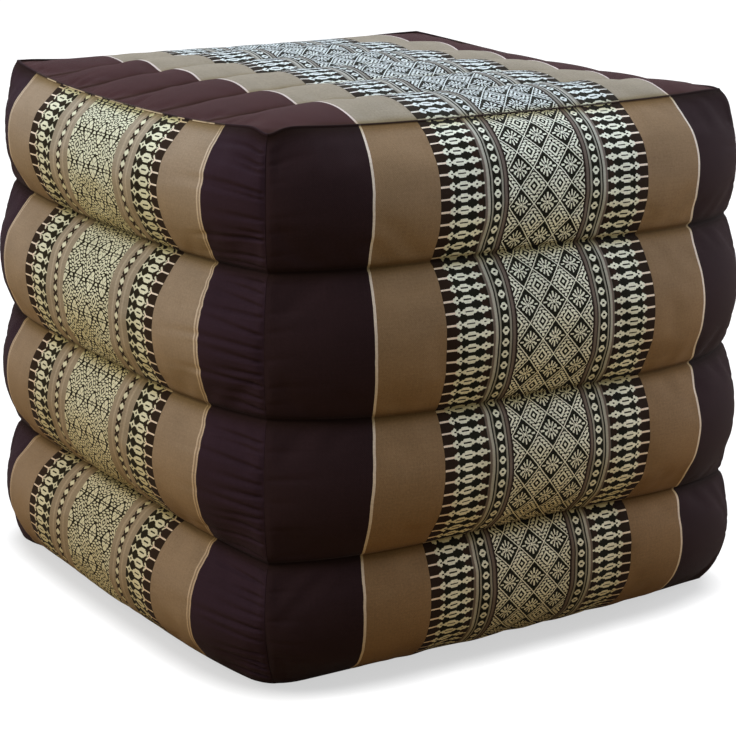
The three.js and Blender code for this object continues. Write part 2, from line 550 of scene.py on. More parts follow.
@dataclass(frozen=True)
class Stuffing:
    """Lets the stuffing push the sewn cloth about, with one cloth simulation of the panels it is given.

    Attributes:
        pressure: How hard the stuffing pushes.
        spare_cloth: Share by which the cloth is longer than its sewn size.
        frames: How many frames it settles for.
        furthest: The most that a point may move.
        column_step: The simulated cloth has one column for this many.
        row_step: The same for its rows.
        calm_passes: How often the result is evened out between neighbours.
        held_from: How close to a crease the cloth is held still, as crease data.
    """

    pressure: float = 4.0
    spare_cloth: float = 0.02
    frames: int = 20
    furthest: float = 1.3
    column_step: int = 2
    row_step: int = 3
    calm_passes: int = 4
    held_from: float = 0.999

    def settle(self, grids: Sequence[ClothGrid]) -> None:
        """Simulates every grid at once and moves its points by the result."""
        sheets = [self._sheet(grid) for grid in grids]
        scene = bpy.context.scene
        for frame_number in range(1, self.frames + 1):
            scene.frame_set(frame_number)
        settled = bpy.context.evaluated_depsgraph_get()
        for grid, (sheet, columns, rows) in zip(grids, sheets):
            after = np.empty(3 * len(sheet.data.vertices), np.float32)
            sheet.evaluated_get(settled).data.vertices.foreach_get("co", after)
            picked = np.ix_(columns, rows)
            moved = after.reshape(len(columns), len(rows), 3) / MM - grid.points[picked]
            rise = (moved * grid.normals()[picked]).sum(-1)
            LOG.info("settled %s: rises up to %.1f mm", sheet.name, float(rise.max()))
            rise = np.tanh(rise / self.furthest) * self.furthest
            grid.push(self._spread(rise, columns, rows, grid.points.shape) * (1 - grid.crease))
        for sheet, _, _ in sheets:
            mesh = sheet.data
            bpy.data.objects.remove(sheet)
            bpy.data.meshes.remove(mesh)
        scene.frame_set(1)

    def _sheet(self, grid: ClothGrid) -> tuple[bpy.types.Object, np.ndarray, np.ndarray]:
        """Makes the coarse cloth, held at its seams and creases.

        Args:
            grid: The fine cloth.

        Returns:
            The cloth, and the columns and rows of the grid that it has.
        """
        columns = np.arange(0, grid.points.shape[0], self.column_step)
        rows = np.arange(0, grid.seam_row + 1, self.row_step)
        picked = np.ix_(columns, rows)
        at = np.arange(len(columns) * len(rows)).reshape(len(columns), len(rows))
        points = grid.points[picked] * MM
        mesh = bpy.data.meshes.new("sheet")
        mesh.from_pydata(points.reshape(-1, 3).tolist(), [], grid_faces(at).tolist())
        sheet = bpy.data.objects.new("sheet", mesh)
        bpy.context.scene.collection.objects.link(sheet)
        held = grid.crease[picked] > self.held_from
        held[[0, -1]] = True
        held[:, [0, -1]] = True
        sewn = sheet.vertex_groups.new(name="sewn")
        sewn.add(at[held].tolist(), 1.0, "REPLACE")
        cloth = sheet.modifiers.new("stuffing", "CLOTH")
        cloth.settings.vertex_group_mass = sewn.name
        cloth.settings.use_pressure = True
        cloth.settings.uniform_pressure_force = self.pressure
        cloth.settings.shrink_min = -self.spare_cloth
        cloth.settings.effector_weights.gravity = 0.0
        cloth.collision_settings.use_collision = False
        cloth.point_cache.frame_start = 1
        cloth.point_cache.frame_end = self.frames
        return sheet, columns, rows

    def _spread(
        self, rise: np.ndarray, columns: np.ndarray, rows: np.ndarray, shape: Sequence[int]
    ) -> np.ndarray:
        """Spreads a coarse cloth's rise smoothly over the fine grid.

        Args:
            rise: The rise at each coarse point.
            columns: The fine columns that the coarse cloth has.
            rows: The same for its rows.
            shape: How many columns and rows the fine grid has.

        Returns:
            The rise at each fine point, 0 on a turned-up edge.
        """
        fine = np.stack([np.interp(np.arange(rows[-1] + 1), rows, line) for line in rise])
        fine = np.stack([np.interp(np.arange(shape[0]), columns, line) for line in fine.T], axis=1)
        for _ in range(self.calm_passes):
            for axis in (0, 1):
                around = [(1, 1) if i == axis else (0, 0) for i in (0, 1)]
                padded = np.pad(fine, around, mode="edge")
                low = np.take(padded, np.arange(fine.shape[axis]), axis)
                high = np.take(padded, np.arange(2, fine.shape[axis] + 2), axis)
                fine = (low + 2 * fine + high) / 4
        return np.pad(fine, ((0, 0), (0, shape[1] - fine.shape[1])))


# ---- Node work -------------------------------------------------------------------------------


class Tree:
    """Puts nodes into a node tree, so that a formula reads nearly as it would on paper."""

    ROW = 12  # nodes side by side in the node editor
    STEP = (180, -160)  # between two of them, across and down
    MIX_SHARE, MIX_LOW, MIX_HIGH, MIX_RESULT = 0, 6, 7, 2  # a Mix node's sockets for colours

    def __init__(self, tree: bpy.types.NodeTree) -> None:
        """Works on this tree."""
        self.tree = tree
        self.count = 0

    def node(self, kind: str, inputs: dict | None = None, **settings: object) -> bpy.types.Node:
        """Adds a node.

        Args:
            kind: Blender's name for the node, without its leading "ShaderNode".
            inputs: A value, colour or output socket for each named or numbered input.
            **settings: Properties of the node.

        Returns:
            The node.
        """
        node = self.tree.nodes.new("ShaderNode" + kind)
        down, right = divmod(self.count, self.ROW)
        node.location = (self.STEP[0] * right, self.STEP[1] * down)
        self.count += 1
        for name, value in settings.items():
            setattr(node, name, value)
        for name, value in (inputs or {}).items():
            self.feed(node.inputs[name], value)
        return node

    def feed(self, socket: Socket, value: Value | Colour) -> None:
        """Links a socket to an output, or sets it to a plain value."""
        if isinstance(value, Socket):
            self.tree.links.new(value, socket)
        else:
            socket.default_value = value

    def math(self, operation: str, *values: Value) -> Socket:
        """Adds a Math node and gives its result."""
        return self.node("Math", dict(enumerate(values)), operation=operation).outputs[0]

    def plus(self, first: Value, second: Value) -> Socket:
        """Adds two values."""
        return self.math("ADD", first, second)

    def minus(self, first: Value, second: Value) -> Socket:
        """Takes the second value from the first."""
        return self.math("SUBTRACT", first, second)

    def times(self, first: Value, second: Value) -> Socket:
        """Multiplies two values."""
        return self.math("MULTIPLY", first, second)

    def times_plus(self, first: Value, second: Value, third: Value) -> Socket:
        """Multiplies two values and adds a third."""
        return self.math("MULTIPLY_ADD", first, second, third)

    def divided(self, first: Value, second: Value) -> Socket:
        """Divides the first value by the second."""
        return self.math("DIVIDE", first, second)

    def absolute(self, value: Value) -> Socket:
        """Drops a value's sign."""
        return self.math("ABSOLUTE", value)

    def snapped(self, value: Value, step: float) -> Socket:
        """Rounds a value down to a whole number of steps."""
        return self.math("SNAP", value, step)

    def both(self, *masks: Value) -> Socket:
        """Is 1 where every mask is 1."""
        result = masks[0]
        for other in masks[1:]:
            result = self.times(result, other)
        return result

    def any(self, *masks: Value) -> Socket:
        """Is as high as the highest of the masks."""
        result = masks[0]
        for other in masks[1:]:
            result = self.math("MAXIMUM", result, other)
        return result

    def below(self, value: Value, limit: Value) -> Socket:
        """Is 1 where a value is less than a limit."""
        return self.math("LESS_THAN", value, limit)

    def above(self, value: Value, limit: Value) -> Socket:
        """Is 1 where a value is more than a limit."""
        return self.math("GREATER_THAN", value, limit)

    def between(self, value: Value, low: float, high: float) -> Socket:
        """Is 1 where a value lies between two others."""
        return self.math("COMPARE", value, (low + high) / 2, (high - low) / 2)

    def fit(
        self, value: Value, low: float, high: float, to_low: float = 0.0, to_high: float = 1.0
    ) -> Socket:
        """Moves a value from one range to another, held inside the new one."""
        inputs = {"Value": value, "From Min": low, "From Max": high, "To Min": to_low, "To Max": to_high}
        return self.node("MapRange", inputs, clamp=True).outputs["Result"]

    def blend(
        self, share: Value, low: Socket | Colour, high: Socket | Colour, kind: str = "MIX"
    ) -> Socket:
        """Mixes two colours by a share from 0 to 1."""
        inputs = {self.MIX_SHARE: share, self.MIX_LOW: low, self.MIX_HIGH: high}
        node = self.node("Mix", data_type="RGBA", blend_type=kind, clamp_factor=True)
        for place, value in inputs.items():
            self.feed(node.inputs[place], value)
        return node.outputs[self.MIX_RESULT]

    def ramp(self, place: Socket, stops: Sequence[tuple[float, Colour]], how: str = "CONSTANT") -> Socket:
        """Adds a colour ramp.

        Args:
            place: The socket that it reads, from 0 to 1.
            stops: Each place with its colour, in order.
            how: How colours go from one stop to the next.

        Returns:
            The colour output.
        """
        node = self.node("ValToRGB", {0: place})
        ramp = node.color_ramp
        ramp.interpolation = how
        while len(ramp.elements) > 1:
            ramp.elements.remove(ramp.elements[-1])
        ramp.elements[0].position, ramp.elements[0].color = stops[0]
        for position, colour in stops[1:]:
            ramp.elements.new(position).color = colour
        return node.outputs[0]

    def noise(self, vector: Socket, scale: float, detail: float = 2.0, roughness: float = 0.5) -> Socket:
        """Adds a noise and gives its value, about 0.5 on average."""
        inputs = {"Vector": vector, "Scale": scale, "Detail": detail, "Roughness": roughness}
        return self.node("TexNoise", inputs).outputs[0]

    def vector(self, x: Value = 0.0, y: Value = 0.0, z: Value = 0.0) -> Socket:
        """Joins three values into a vector."""
        return self.node("CombineXYZ", {0: x, 1: y, 2: z}).outputs[0]

    def parts(self, vector: Socket) -> tuple[Socket, Socket, Socket]:
        """Gives a vector's three values."""
        return tuple(self.node("SeparateXYZ", {0: vector}).outputs)

    def grey(self, value: Value) -> Socket:
        """Makes a grey colour of this brightness."""
        return self.node("CombineColor", {0: value, 1: value, 2: value}).outputs[0]


class Group(Tree):
    """A shader node group with named inputs and outputs."""

    def __init__(self, name: str, inputs: dict[str, float | Colour], outputs: dict[str, str]) -> None:
        """Makes the group.

        Args:
            name: Name of the group.
            inputs: A default for each input: a number, or a colour of four numbers.
            outputs: "Float", "Color" or "Vector" for each output.
        """
        tree = bpy.data.node_groups.new(name, "ShaderNodeTree")
        super().__init__(tree)
        for label, default in inputs.items():
            kind = "NodeSocketColor" if isinstance(default, tuple) else "NodeSocketFloat"
            socket = tree.interface.new_socket(label, in_out="INPUT", socket_type=kind)
            socket.default_value = default
        for label, kind in outputs.items():
            tree.interface.new_socket(label, in_out="OUTPUT", socket_type="NodeSocket" + kind)
        self.inputs = tree.nodes.new("NodeGroupInput").outputs
        self.result = tree.nodes.new("NodeGroupOutput").inputs

    def give(self, label: str, value: Value) -> None:
        """Sends a value to one of the group's outputs."""
        self.feed(self.result[label], value)

    def place(self, tree: Tree, **inputs: Value | Colour) -> bpy.types.NodeOutputs:
        """Puts the group into another tree, with an input for each given name."""
        node = tree.node("Group", node_tree=self.tree)
        for label, value in inputs.items():
            tree.feed(node.inputs[label.replace("_", " ")], value)
        return node.outputs


# ---- Woven motifs ----------------------------------------------------------------------------

WHITE = (1.0, 1.0, 1.0, 1.0)
BLACK = (0.0, 0.0, 0.0, 1.0)
RAMP_STEPS = 255  # a colour ramp is read at this many even steps
REPEAT = 7.308  # along the cloth, shared by the bands, the chains and a third of the lattice


@dataclass(frozen=True)
class WeaveChart:
    """A small motif, charted with one text row for each step away from its axis.

    Attributes:
        name: Name of the chart.
        cell: Width and height of a cell.
        rows: How far from the axis each row reaches, in cells, and its cells: "#" is light and "."
            dark. The motif is mirrored about its axis.
        half: Half the length of a repeat, in cells; 0 takes the cloth's own repeat.
        step: How finely its rows are told apart, in cells.
    """

    name: str
    cell: tuple[float, float]
    rows: tuple[tuple[float, str], ...]
    half: float = 0.0
    step: float = 0.5

    def group(self) -> Group:
        """Makes the group that draws the motif from a place across and along the cloth."""
        group = Group("Weave chart " + self.name, {"Across": 0.0, "Along": 0.0}, {"Mask": "Float"})
        cells = len(self.rows[0][1])
        column = group.math("FLOOR", group.divided(group.inputs["Across"], self.cell[0]))
        place = group.snapped(group.divided(group.inputs["Along"], self.cell[1]), self.step)
        off_axis = group.math(
            "PINGPONG", group.plus(place, self.step / 2), self.half or REPEAT / 2 / self.cell[1]
        )
        steps_each = RAMP_STEPS // cells
        reading = group.times(group.plus(column, 0.5), steps_each / RAMP_STEPS)
        total, start = 0.0, 0.0
        for reach, text in self.rows:
            drawn = group.ramp(reading, self._stops(text, steps_each))
            total = group.times_plus(drawn, group.between(off_axis, start, reach), total)
            start = reach
        group.give("Mask", group.both(total, group.between(column, -0.5, cells - 0.5)))
        return group

    @staticmethod
    def _stops(text: str, steps_each: int) -> list[tuple[float, tuple[float, ...]]]:
        """Gives the ramp stops where a row changes between light and dark."""
        stops = [(0.0, WHITE if text[0] == "#" else BLACK)]
        for column in range(1, len(text)):
            if text[column] != text[column - 1]:
                position = (column * steps_each - 0.5) / RAMP_STEPS
                stops.append((position, WHITE if text[column] == "#" else BLACK))
        return stops


# The first weave's band, from its beige side: a stem, a small flower, a slotted block, a pointed one.
FIRST_BAND = WeaveChart(
    "first band",
    (0.52, 0.5),
    (
        (0.9, "################...#######...........############...#########"),
        (1.2, "#########################################################.###"),
        (2.1, "............#######...###################...#############...."),
        (3.0, ".............######....#################.....###########....."),
        (4.0, "...............####.......###########...........####........."),
        (5.0, "................##.........#########.............##.........."),
    ),
)
# A round ring with an eye.
FIRST_CHAIN = WeaveChart(
    "first chain",
    (0.5, 0.5),
    ((1.2, "###....###"), (2.4, ".########."), (3.6, "..######.."), (4.9, "...####...")),
)
# The second weave's band: a stem, a bird, a slotted six-sided ring and a diamond ring.
SECOND_BAND = WeaveChart(
    "second band",
    (0.64, 0.5),
    (
        (1.0, "#############.##.#####.........##########...#####"),
        (2.0, "...........###....#################....###.###..."),
        (3.0, "............###....###############......#####...."),
        (4.4, ".............###....#############........###....."),
        (5.8, "..............##......#########...........#......"),
    ),
)
# A quarter of the first weave's flower, from its middle: a finger up and down, petals and a leaf aside.
FIRST_FLOWER = WeaveChart(
    "first flower",
    (0.5, 0.5),
    (
        (1.0, "##.#......#####"),
        (2.0, "#.#####........"),
        (3.0, ".#..#####......"),
        (4.0, "..#...####....."),
        (5.0, "..##...###....."),
        (6.0, "#.##...##......"),
        (7.0, "#..##.........."),
        (8.0, "#..###........."),
        (9.0, "#...##........."),
        (10.0, "#...#.........."),
        (12.5, "#.............."),
    ),
    22.0,
)
# The same for the second weave's flower, whose petals nearly touch.
SECOND_FLOWER = WeaveChart(
    "second flower",
    (0.5, 0.6),
    (
        (1.0, "#..#######"),
        (2.0, ".........."),
        (3.0, ".#######.."),
        (4.0, "########.."),
        (5.0, "#.######.."),
        (6.0, "##.####..."),
        (7.0, "###.##...."),
        (9.0, "####......"),
        (10.0, "####......"),
        (11.0, "##........"),
    ),
    18.0,
)


@dataclass(frozen=True)
class Teeth:
    """A ring of small level teeth round a lattice's diamonds.

    Attributes:
        start: The depth where the teeth begin.
        end: The depth where they end.
        tall: Share of the pitch that a tooth takes halfway.
        low: The same at its two ends.
        phase: Shifts the teeth along, by this share of their pitch.
    """

    start: float
    end: float
    tall: float
    low: float
    phase: float = 0.0

    def mask(self, group: Group, depth: Socket, level: Socket) -> Socket:
        """Draws the ring from the depth and from a level that counts the teeth."""
        middle, reach = (self.start + self.end) / 2, (self.end - self.start) / 2
        off = group.absolute(group.minus(depth, middle))
        height = group.fit(off, 0.0, reach, self.tall, self.low)
        part = group.math("FRACT", group.plus(level, self.phase))
        return group.both(group.between(depth, self.start, self.end), group.below(part, height))


@dataclass(frozen=True)
class Lattice:
    """The middle of a patterned cloth: flowers and nested diamonds in a net of slanting lines.

    A depth is 0 in the middle of a diamond and 1 in the middle of a flower.

    Attributes:
        name: Name of the lattice.
        flower: Chart of the flower.
        flower_from: The depth where a flower begins.
        width: Distance between two flowers side by side.
        bars: The depths between which each slanting light line lies.
        teeth: The rings of teeth.
        teeth_high: How many teeth there are between two flowers above each other.
        eye: The depth where a diamond's light eye ends.
        height: Distance between two flowers above each other.
        thread: Size of the steps that all its edges follow.
    """

    name: str
    flower: WeaveChart
    flower_from: float
    width: float
    bars: tuple[tuple[float, float], ...]
    teeth: tuple[Teeth, ...]
    teeth_high: int
    eye: float = 0.06
    height: float = 3 * REPEAT
    thread: float = 0.305

    def group(self) -> Group:
        """Makes the group that draws the lattice from a place across and along the cloth."""
        group = Group("Lattice " + self.name, {"Across": 0.0, "Along": 0.0}, {"Mask": "Float"})
        counted, folded = [], []
        for label, size in (("Across", self.width), ("Along", self.height)):
            stepped = group.plus(group.snapped(group.inputs[label], self.thread), self.thread / 2)
            counted.append(group.divided(stepped, size))
            nearest = group.math("ROUND", counted[-1])
            folded.append(group.absolute(group.minus(counted[-1], nearest)))
        depth = group.minus(1.0, group.plus(*folded))
        level = group.times(counted[1], self.teeth_high)
        flower = self.flower.group().place(
            group,
            Across=group.times(folded[0], self.width),
            Along=group.times(folded[1], self.height),
        )["Mask"]
        masks = [group.both(flower, group.above(depth, self.flower_from))]
        masks += [group.between(depth, *bar) for bar in self.bars]
        masks += [ring.mask(group, depth, level) for ring in self.teeth]
        masks.append(group.below(depth, self.eye))
        group.give("Mask", group.any(*masks))
        return group


# Light on dark: petalled flowers, each in a light frame, and toothed diamonds.
FIRST_LATTICE = Lattice(
    name="first",
    flower=FIRST_FLOWER,
    flower_from=0.56,
    width=19.6,
    bars=((0.478, 0.525), (0.15, 0.235)),
    teeth=(Teeth(0.275, 0.44, 0.95, 0.2),),
    teeth_high=11,
)
# Mostly light: full flowers in a dark frame, and diamonds with two rings of finer teeth.
SECOND_LATTICE = Lattice(
    name="second",
    flower=SECOND_FLOWER,
    flower_from=0.63,
    width=18.3,
    bars=((0.13, 0.225),),
    teeth=(Teeth(0.26, 0.40, 0.75, 0.55), Teeth(0.43, 0.575, 0.75, 0.55, phase=0.5)),
    teeth_high=9,
)


# ---- Cloth itself ----------------------------------------------------------------------------


@dataclass(frozen=True)
class ThreadWeave:
    """The fine plain weave: a height for the bump and a tone that differs from yarn to yarn.

    Attributes:
        run: How slowly a yarn's thickness changes along it, against from yarn to yarn.
        warp_scale: How quickly it changes from one long yarn to the next.
        weft_scale: The same for the cross yarns.
        detail: How finely it changes.
    """

    run: float = 0.02
    warp_scale: float = 1.6
    weft_scale: float = 1.4
    detail: float = 3.0

    def group(self) -> Group:
        """Makes the group; its slub is how unevenly the yarns are spun."""
        inputs = {"Across": 0.0, "Along": 0.0, "Pitch": 0.6, "Slub": 0.5}
        group = Group("Thread weave", inputs, {"Height": "Float", "Tone": "Float"})
        across, along = group.inputs["Across"], group.inputs["Along"]
        waves = []
        for place in (across, along):
            turn = group.times(group.divided(place, group.inputs["Pitch"]), math.pi)
            waves.append(group.math("SINE", turn))
        warp, weft = (group.absolute(wave) for wave in waves)
        on_top = group.times_plus(group.math("SIGN", group.times(*waves)), 0.5, 0.5)
        height = group.plus(group.times(warp, on_top), group.times(weft, group.minus(1.0, on_top)))
        long_yarn = group.vector(across, group.times(along, self.run))
        cross_yarn = group.vector(group.times(across, self.run), along)
        thickness = group.plus(
            group.noise(long_yarn, self.warp_scale, self.detail),
            group.noise(cross_yarn, self.weft_scale, self.detail),
        )
        slub = group.times(group.minus(thickness, 1.0), group.inputs["Slub"])
        group.give("Height", group.plus(height, slub))
        group.give("Tone", group.plus(1.0, slub))
        return group


@dataclass(frozen=True)
class ToneAndPaintedShade:
    """Mottles the cloth, and paints light and shade into it: painted shade darker and browner in its
    creases, a painted bounce tint where it faces down, and painted shade darker and browner toward the
    floor.

    Attributes:
        slow: Scale, detail and roughness of the broad mottling.
        quick: The same for the fine mottling.
        quick_share: How much the fine one counts, against the broad one.
        seam_shadow_sharpness: How narrow the painted shadow line along each seam and sewn crease is.
        painted_seam_shadow: How dark that painted shadow line is.
        painted_bounce_facing: How far the cloth faces up where the painted bounce tint begins, and where
            it is strongest.
        dark_yarn: Brightness below which a yarn hardly takes the painted shade near the floor, and above
            which it takes it fully.
        dark_yarn_share: How much of that painted shade a dark yarn takes.
        foot: Heights in metres between which painted shade darkens and tints the cloth toward the floor.
    """

    slow: tuple[float, float, float] = (0.03, 4.0, 0.6)
    quick: tuple[float, float, float] = (0.7, 4.0, 0.75)
    quick_share: float = 1.8
    # The fields from here on paint shade: a shadow line along seams and creases, a bounce tint on cloth
    # facing down, and shade near the floor.
    seam_shadow_sharpness: float = 24.0
    painted_seam_shadow: float = 0.65
    painted_bounce_facing: tuple[float, float] = (0.25, -0.7)
    dark_yarn: tuple[float, float] = (0.015, 0.08)
    dark_yarn_share: float = 0.35
    foot: tuple[float, float] = (0.335, 0.09)

    def group(self) -> Group:
        """Makes the group."""
        inputs = {
            "Color": (0.5, 0.5, 0.5, 1.0),
            "Across": 0.0,
            "Along": 0.0,
            "Tone": 1.0,
            "Crease": 0.0,
            "Mottle": 0.12,
            "Crease Shade": 0.35,
            "Warm Color": WHITE,
            "Warmth": 0.0,
            "Foot Color": WHITE,
        }
        group = Group("Cloth tone and painted shade", inputs, {"Color": "Color", "Worn": "Float"})
        crease = group.inputs["Crease"]
        place = group.vector(group.inputs["Across"], group.inputs["Along"])
        slow = group.minus(group.noise(place, *self.slow), 0.5)
        quick = group.minus(group.noise(place, *self.quick), 0.5)
        mottle = group.times_plus(quick, self.quick_share, slow)
        factor = group.times_plus(mottle, group.inputs["Mottle"], 1.0)
        factor = group.times(factor, group.inputs["Tone"])
        # Painted shade, darker toward each crease and seam.
        shade = group.times(crease, group.inputs["Crease Shade"])
        # A painted shadow line, narrow and dark, right along each seam and crease.
        painted_seam_shadow_mask = group.times(group.math("POWER", crease, self.seam_shadow_sharpness), self.painted_seam_shadow)
        factor = group.times(factor, group.minus(1.0, group.any(shade, painted_seam_shadow_mask)))
        surface = group.node("NewGeometry").outputs
        upward = group.parts(surface["Normal"])[2]
        height = group.parts(surface["Position"])[2]
        # A painted bounce tint in the creases and on cloth that faces down.
        painted_warm_light = group.times(group.any(group.fit(upward, *self.painted_bounce_facing), crease), group.inputs["Warmth"])
        tinted = group.blend(painted_warm_light, group.inputs["Color"], group.inputs["Warm Color"], "MULTIPLY")
        # Painted shade toward the floor: darker and tinted low down, weaker on dark yarns.
        brightness = group.node("RGBToBW", {0: tinted}).outputs[0]
        pale = group.fit(brightness, *self.dark_yarn, self.dark_yarn_share, 1.0)
        low = group.both(group.fit(height, *self.foot), pale)
        tinted = group.blend(low, tinted, group.inputs["Foot Color"], "MULTIPLY")
        group.give("Color", group.blend(1.0, tinted, group.grey(factor), "MULTIPLY"))
        group.give("Worn", mottle)
        return group


@dataclass
class Effects:
    """The node groups that the finishes share, each built once."""

    weave: Group = field(default_factory=ThreadWeave().group)
    # Mottle, with painted shade and a painted bounce tint.
    tone: Group = field(default_factory=ToneAndPaintedShade().group)
    first_lattice: Group = field(default_factory=FIRST_LATTICE.group)
    second_lattice: Group = field(default_factory=SECOND_LATTICE.group)
    first_band: Group = field(default_factory=FIRST_BAND.group)
    first_chain: Group = field(default_factory=FIRST_CHAIN.group)
    second_band: Group = field(default_factory=SECOND_BAND.group)


# ---- Finishes --------------------------------------------------------------------------------


@dataclass(frozen=True)
class ClothColours:
    """The yarns of a cloth."""

    light: str
    stem: str
    ground: str
    ground_outer: str
    beige: str
    beige_light: str
    line: str
    brown: str
    stripe: str
    stripe_dark: str
    chain_line: str
    frayed: str = "#d2c7b6"


@dataclass(frozen=True)
class Cloth:
    """What every cotton cloth of the pouf has in common; by itself it is plain brown.

    Attributes:
        name: Name of the material.
        colours: Its yarns.
        frayed: How much of the frayed ends' colour shows on a turned-up edge.
        frayed_half: How far from the middle line the ends fray.
        frayed_scale: How often frayed stretches come.
        frayed_level: Between which values of their noise they begin.
        edge: How far over a turned-up edge its own shade begins and is full.
        edge_outside: Where the edge's outside ends, from none of it left to all.
        edge_shade: How far the edge turns brown.
        wander: How far the pattern wanders across the cloth.
        wander_scale: How quickly it wanders.
        wander_run: How much more slowly it does so across the cloth.
        pitch: Distance between two yarns.
        slub: How unevenly they are spun.
        mottle: How mottled the cloth is.
        painted_crease_shade: How dark the painted shade in its creases is.
        painted_warm_light: The tint of the painted bounce light and shade in the creases and on cloth that
            faces down.
        painted_warm_light_share: How much of that painted tint shows.
        foot: The tint of the painted shade near the floor.
        relief: How far the light yarns stand up, against the weave itself.
        bump: How strongly the relief shows.
        bump_height: Height of the relief in metres.
        roughness: Roughness of the yarns.
        worn_roughness: What mottling adds to it.
        light_roughness: What a light yarn on top adds to it.
        gloss: Specular level.
        sheen: How much fine fluff catches the light.
        sheen_roughness: How softly it does.
        sheen_tint: Its colour.
    """

    name: str
    colours: ClothColours
    frayed: float = 0.0
    frayed_half: float = 120.0
    frayed_scale: float = 0.036
    frayed_level: tuple[float, float] = (0.49, 0.505)
    edge: tuple[float, float] = (0.02, 0.1)
    edge_outside: tuple[float, float] = (0.34, 0.18)
    edge_shade: float = 0.9
    wander: float = 1.2
    wander_scale: float = 0.05
    wander_run: float = 0.01
    pitch: float = 0.62
    slub: float = 0.22
    mottle: float = 0.42
    # The next four paint shade: darker creases, a bounce tint in them and on cloth facing down, and shade
    # near the floor.
    painted_crease_shade: float = 0.4
    painted_warm_light: str = "#f6e3a8"
    painted_warm_light_share: float = 0.8
    foot: Colour = (0.85, 0.75, 0.63, 1.0)
    relief: float = 0.9
    bump: float = 0.55
    bump_height: float = 0.00022
    roughness: float = 0.86
    worn_roughness: float = 0.1
    light_roughness: float = -0.08
    gloss: float = 0.05
    sheen: float = 0.03
    sheen_roughness: float = 0.3
    sheen_tint: Colour = (1.0, 0.93, 0.93, 1.0)

    def finish(self, effects: Effects) -> bpy.types.Material:
        """Makes the material.

        Args:
            effects: The shared node groups.

        Returns:
            The material.
        """
        material = bpy.data.materials.new(self.name)
        material.use_nodes = True
        material.node_tree.nodes.clear()
        tree = Tree(material.node_tree)
        across, along = self._places(tree)
        colour, light = self.pattern(tree, effects, across, along)
        weave = effects.weave.place(tree, Across=across, Along=along, Pitch=self.pitch, Slub=self.slub)
        # Mottle, with painted shade and a painted bounce tint in the creases, on cloth facing down and
        # near the floor.
        toned = effects.tone.place(
            tree,
            Color=self._with_edge(tree, across, colour),
            Across=across,
            Along=along,
            Tone=weave["Tone"],
            Crease=tree.node("Attribute", attribute_name=CREASE_DATA).outputs["Fac"],
            Mottle=self.mottle,
            Crease_Shade=self.painted_crease_shade,
            Warm_Color=linear(self.painted_warm_light),
            Warmth=self.painted_warm_light_share,
            Foot_Color=self.foot,
        )
        relief = tree.times_plus(light, self.relief, weave["Height"])
        raised = {"Strength": self.bump, "Distance": self.bump_height, "Height": relief}
        rough = tree.times_plus(toned["Worn"], self.worn_roughness, self.roughness)
        shader = tree.node(
            "BsdfPrincipled",
            {
                "Base Color": toned["Color"],
                "Roughness": tree.times_plus(light, self.light_roughness, rough),
                "Normal": tree.node("Bump", raised).outputs[0],
                "Specular IOR Level": self.gloss,
                "Sheen Weight": self.sheen,
                "Sheen Roughness": self.sheen_roughness,
                "Sheen Tint": self.sheen_tint,
            },
        )
        tree.node("OutputMaterial", {0: shader.outputs[0]})
        return material

    def pattern(
        self, tree: Tree, effects: Effects, across: Socket, along: Socket
    ) -> tuple[Socket | Colour, Value]:
        """Draws the pattern.

        Args:
            tree: The material's tree.
            effects: The shared node groups.
            across: Distance from the cloth's middle line, to the right.
            along: Distance from the cloth's lower end.

        Returns:
            The colour, and a mask of where light yarns lie on top.
        """
        return linear(self.colours.brown), 0.0

    def _places(self, tree: Tree) -> tuple[Socket, Socket]:
        """Gives the place across and along the cloth, which wanders a little as it does off a loom."""
        across, along, _ = tree.parts(tree.node("UVMap", uv_map=CLOTH_MAP).outputs[0])
        wander = tree.noise(tree.vector(tree.times(across, self.wander_run), along), self.wander_scale)
        return tree.plus(across, tree.times_plus(wander, self.wander, -self.wander / 2)), along

    def _with_edge(self, tree: Tree, across: Socket, colour: Socket | Colour) -> Socket:
        """Browns the seam's turned-up edge and frays the ends on its outside."""
        over = tree.node("Attribute", attribute_name=EDGE_DATA).outputs["Fac"]
        edge = tree.fit(over, *self.edge)
        outside = tree.both(edge, tree.fit(over, *self.edge_outside))
        patterned = tree.below(tree.absolute(across), self.frayed_half)
        stretches = tree.noise(tree.vector(across), self.frayed_scale, 1.0)
        frayed = tree.fit(stretches, *self.frayed_level, 0.0, self.frayed)
        browned = tree.blend(tree.times(edge, self.edge_shade), colour, linear(self.colours.brown))
        return tree.blend(tree.both(frayed, outside, patterned), browned, linear(self.colours.frayed))


ZONE_LEAD = 0.001  # a zone starts this much early on its ramp, so that a step of the ramp meets it


def zones(tree: Tree, off_middle: Socket, reach: float, starts: Sequence[tuple[float, str]]) -> Socket:
    """Lays ground colours side by side.

    Args:
        tree: The material's tree.
        off_middle: Distance from the cloth's middle line.
        reach: The distance at the ramp's far end.
        starts: Where each zone starts, from the middle line out, and its colour.

    Returns:
        The colour.
    """
    stops = [(max(0.0, start / reach - ZONE_LEAD), linear(colour)) for start, colour in starts]
    return tree.ramp(tree.divided(off_middle, reach), stops)


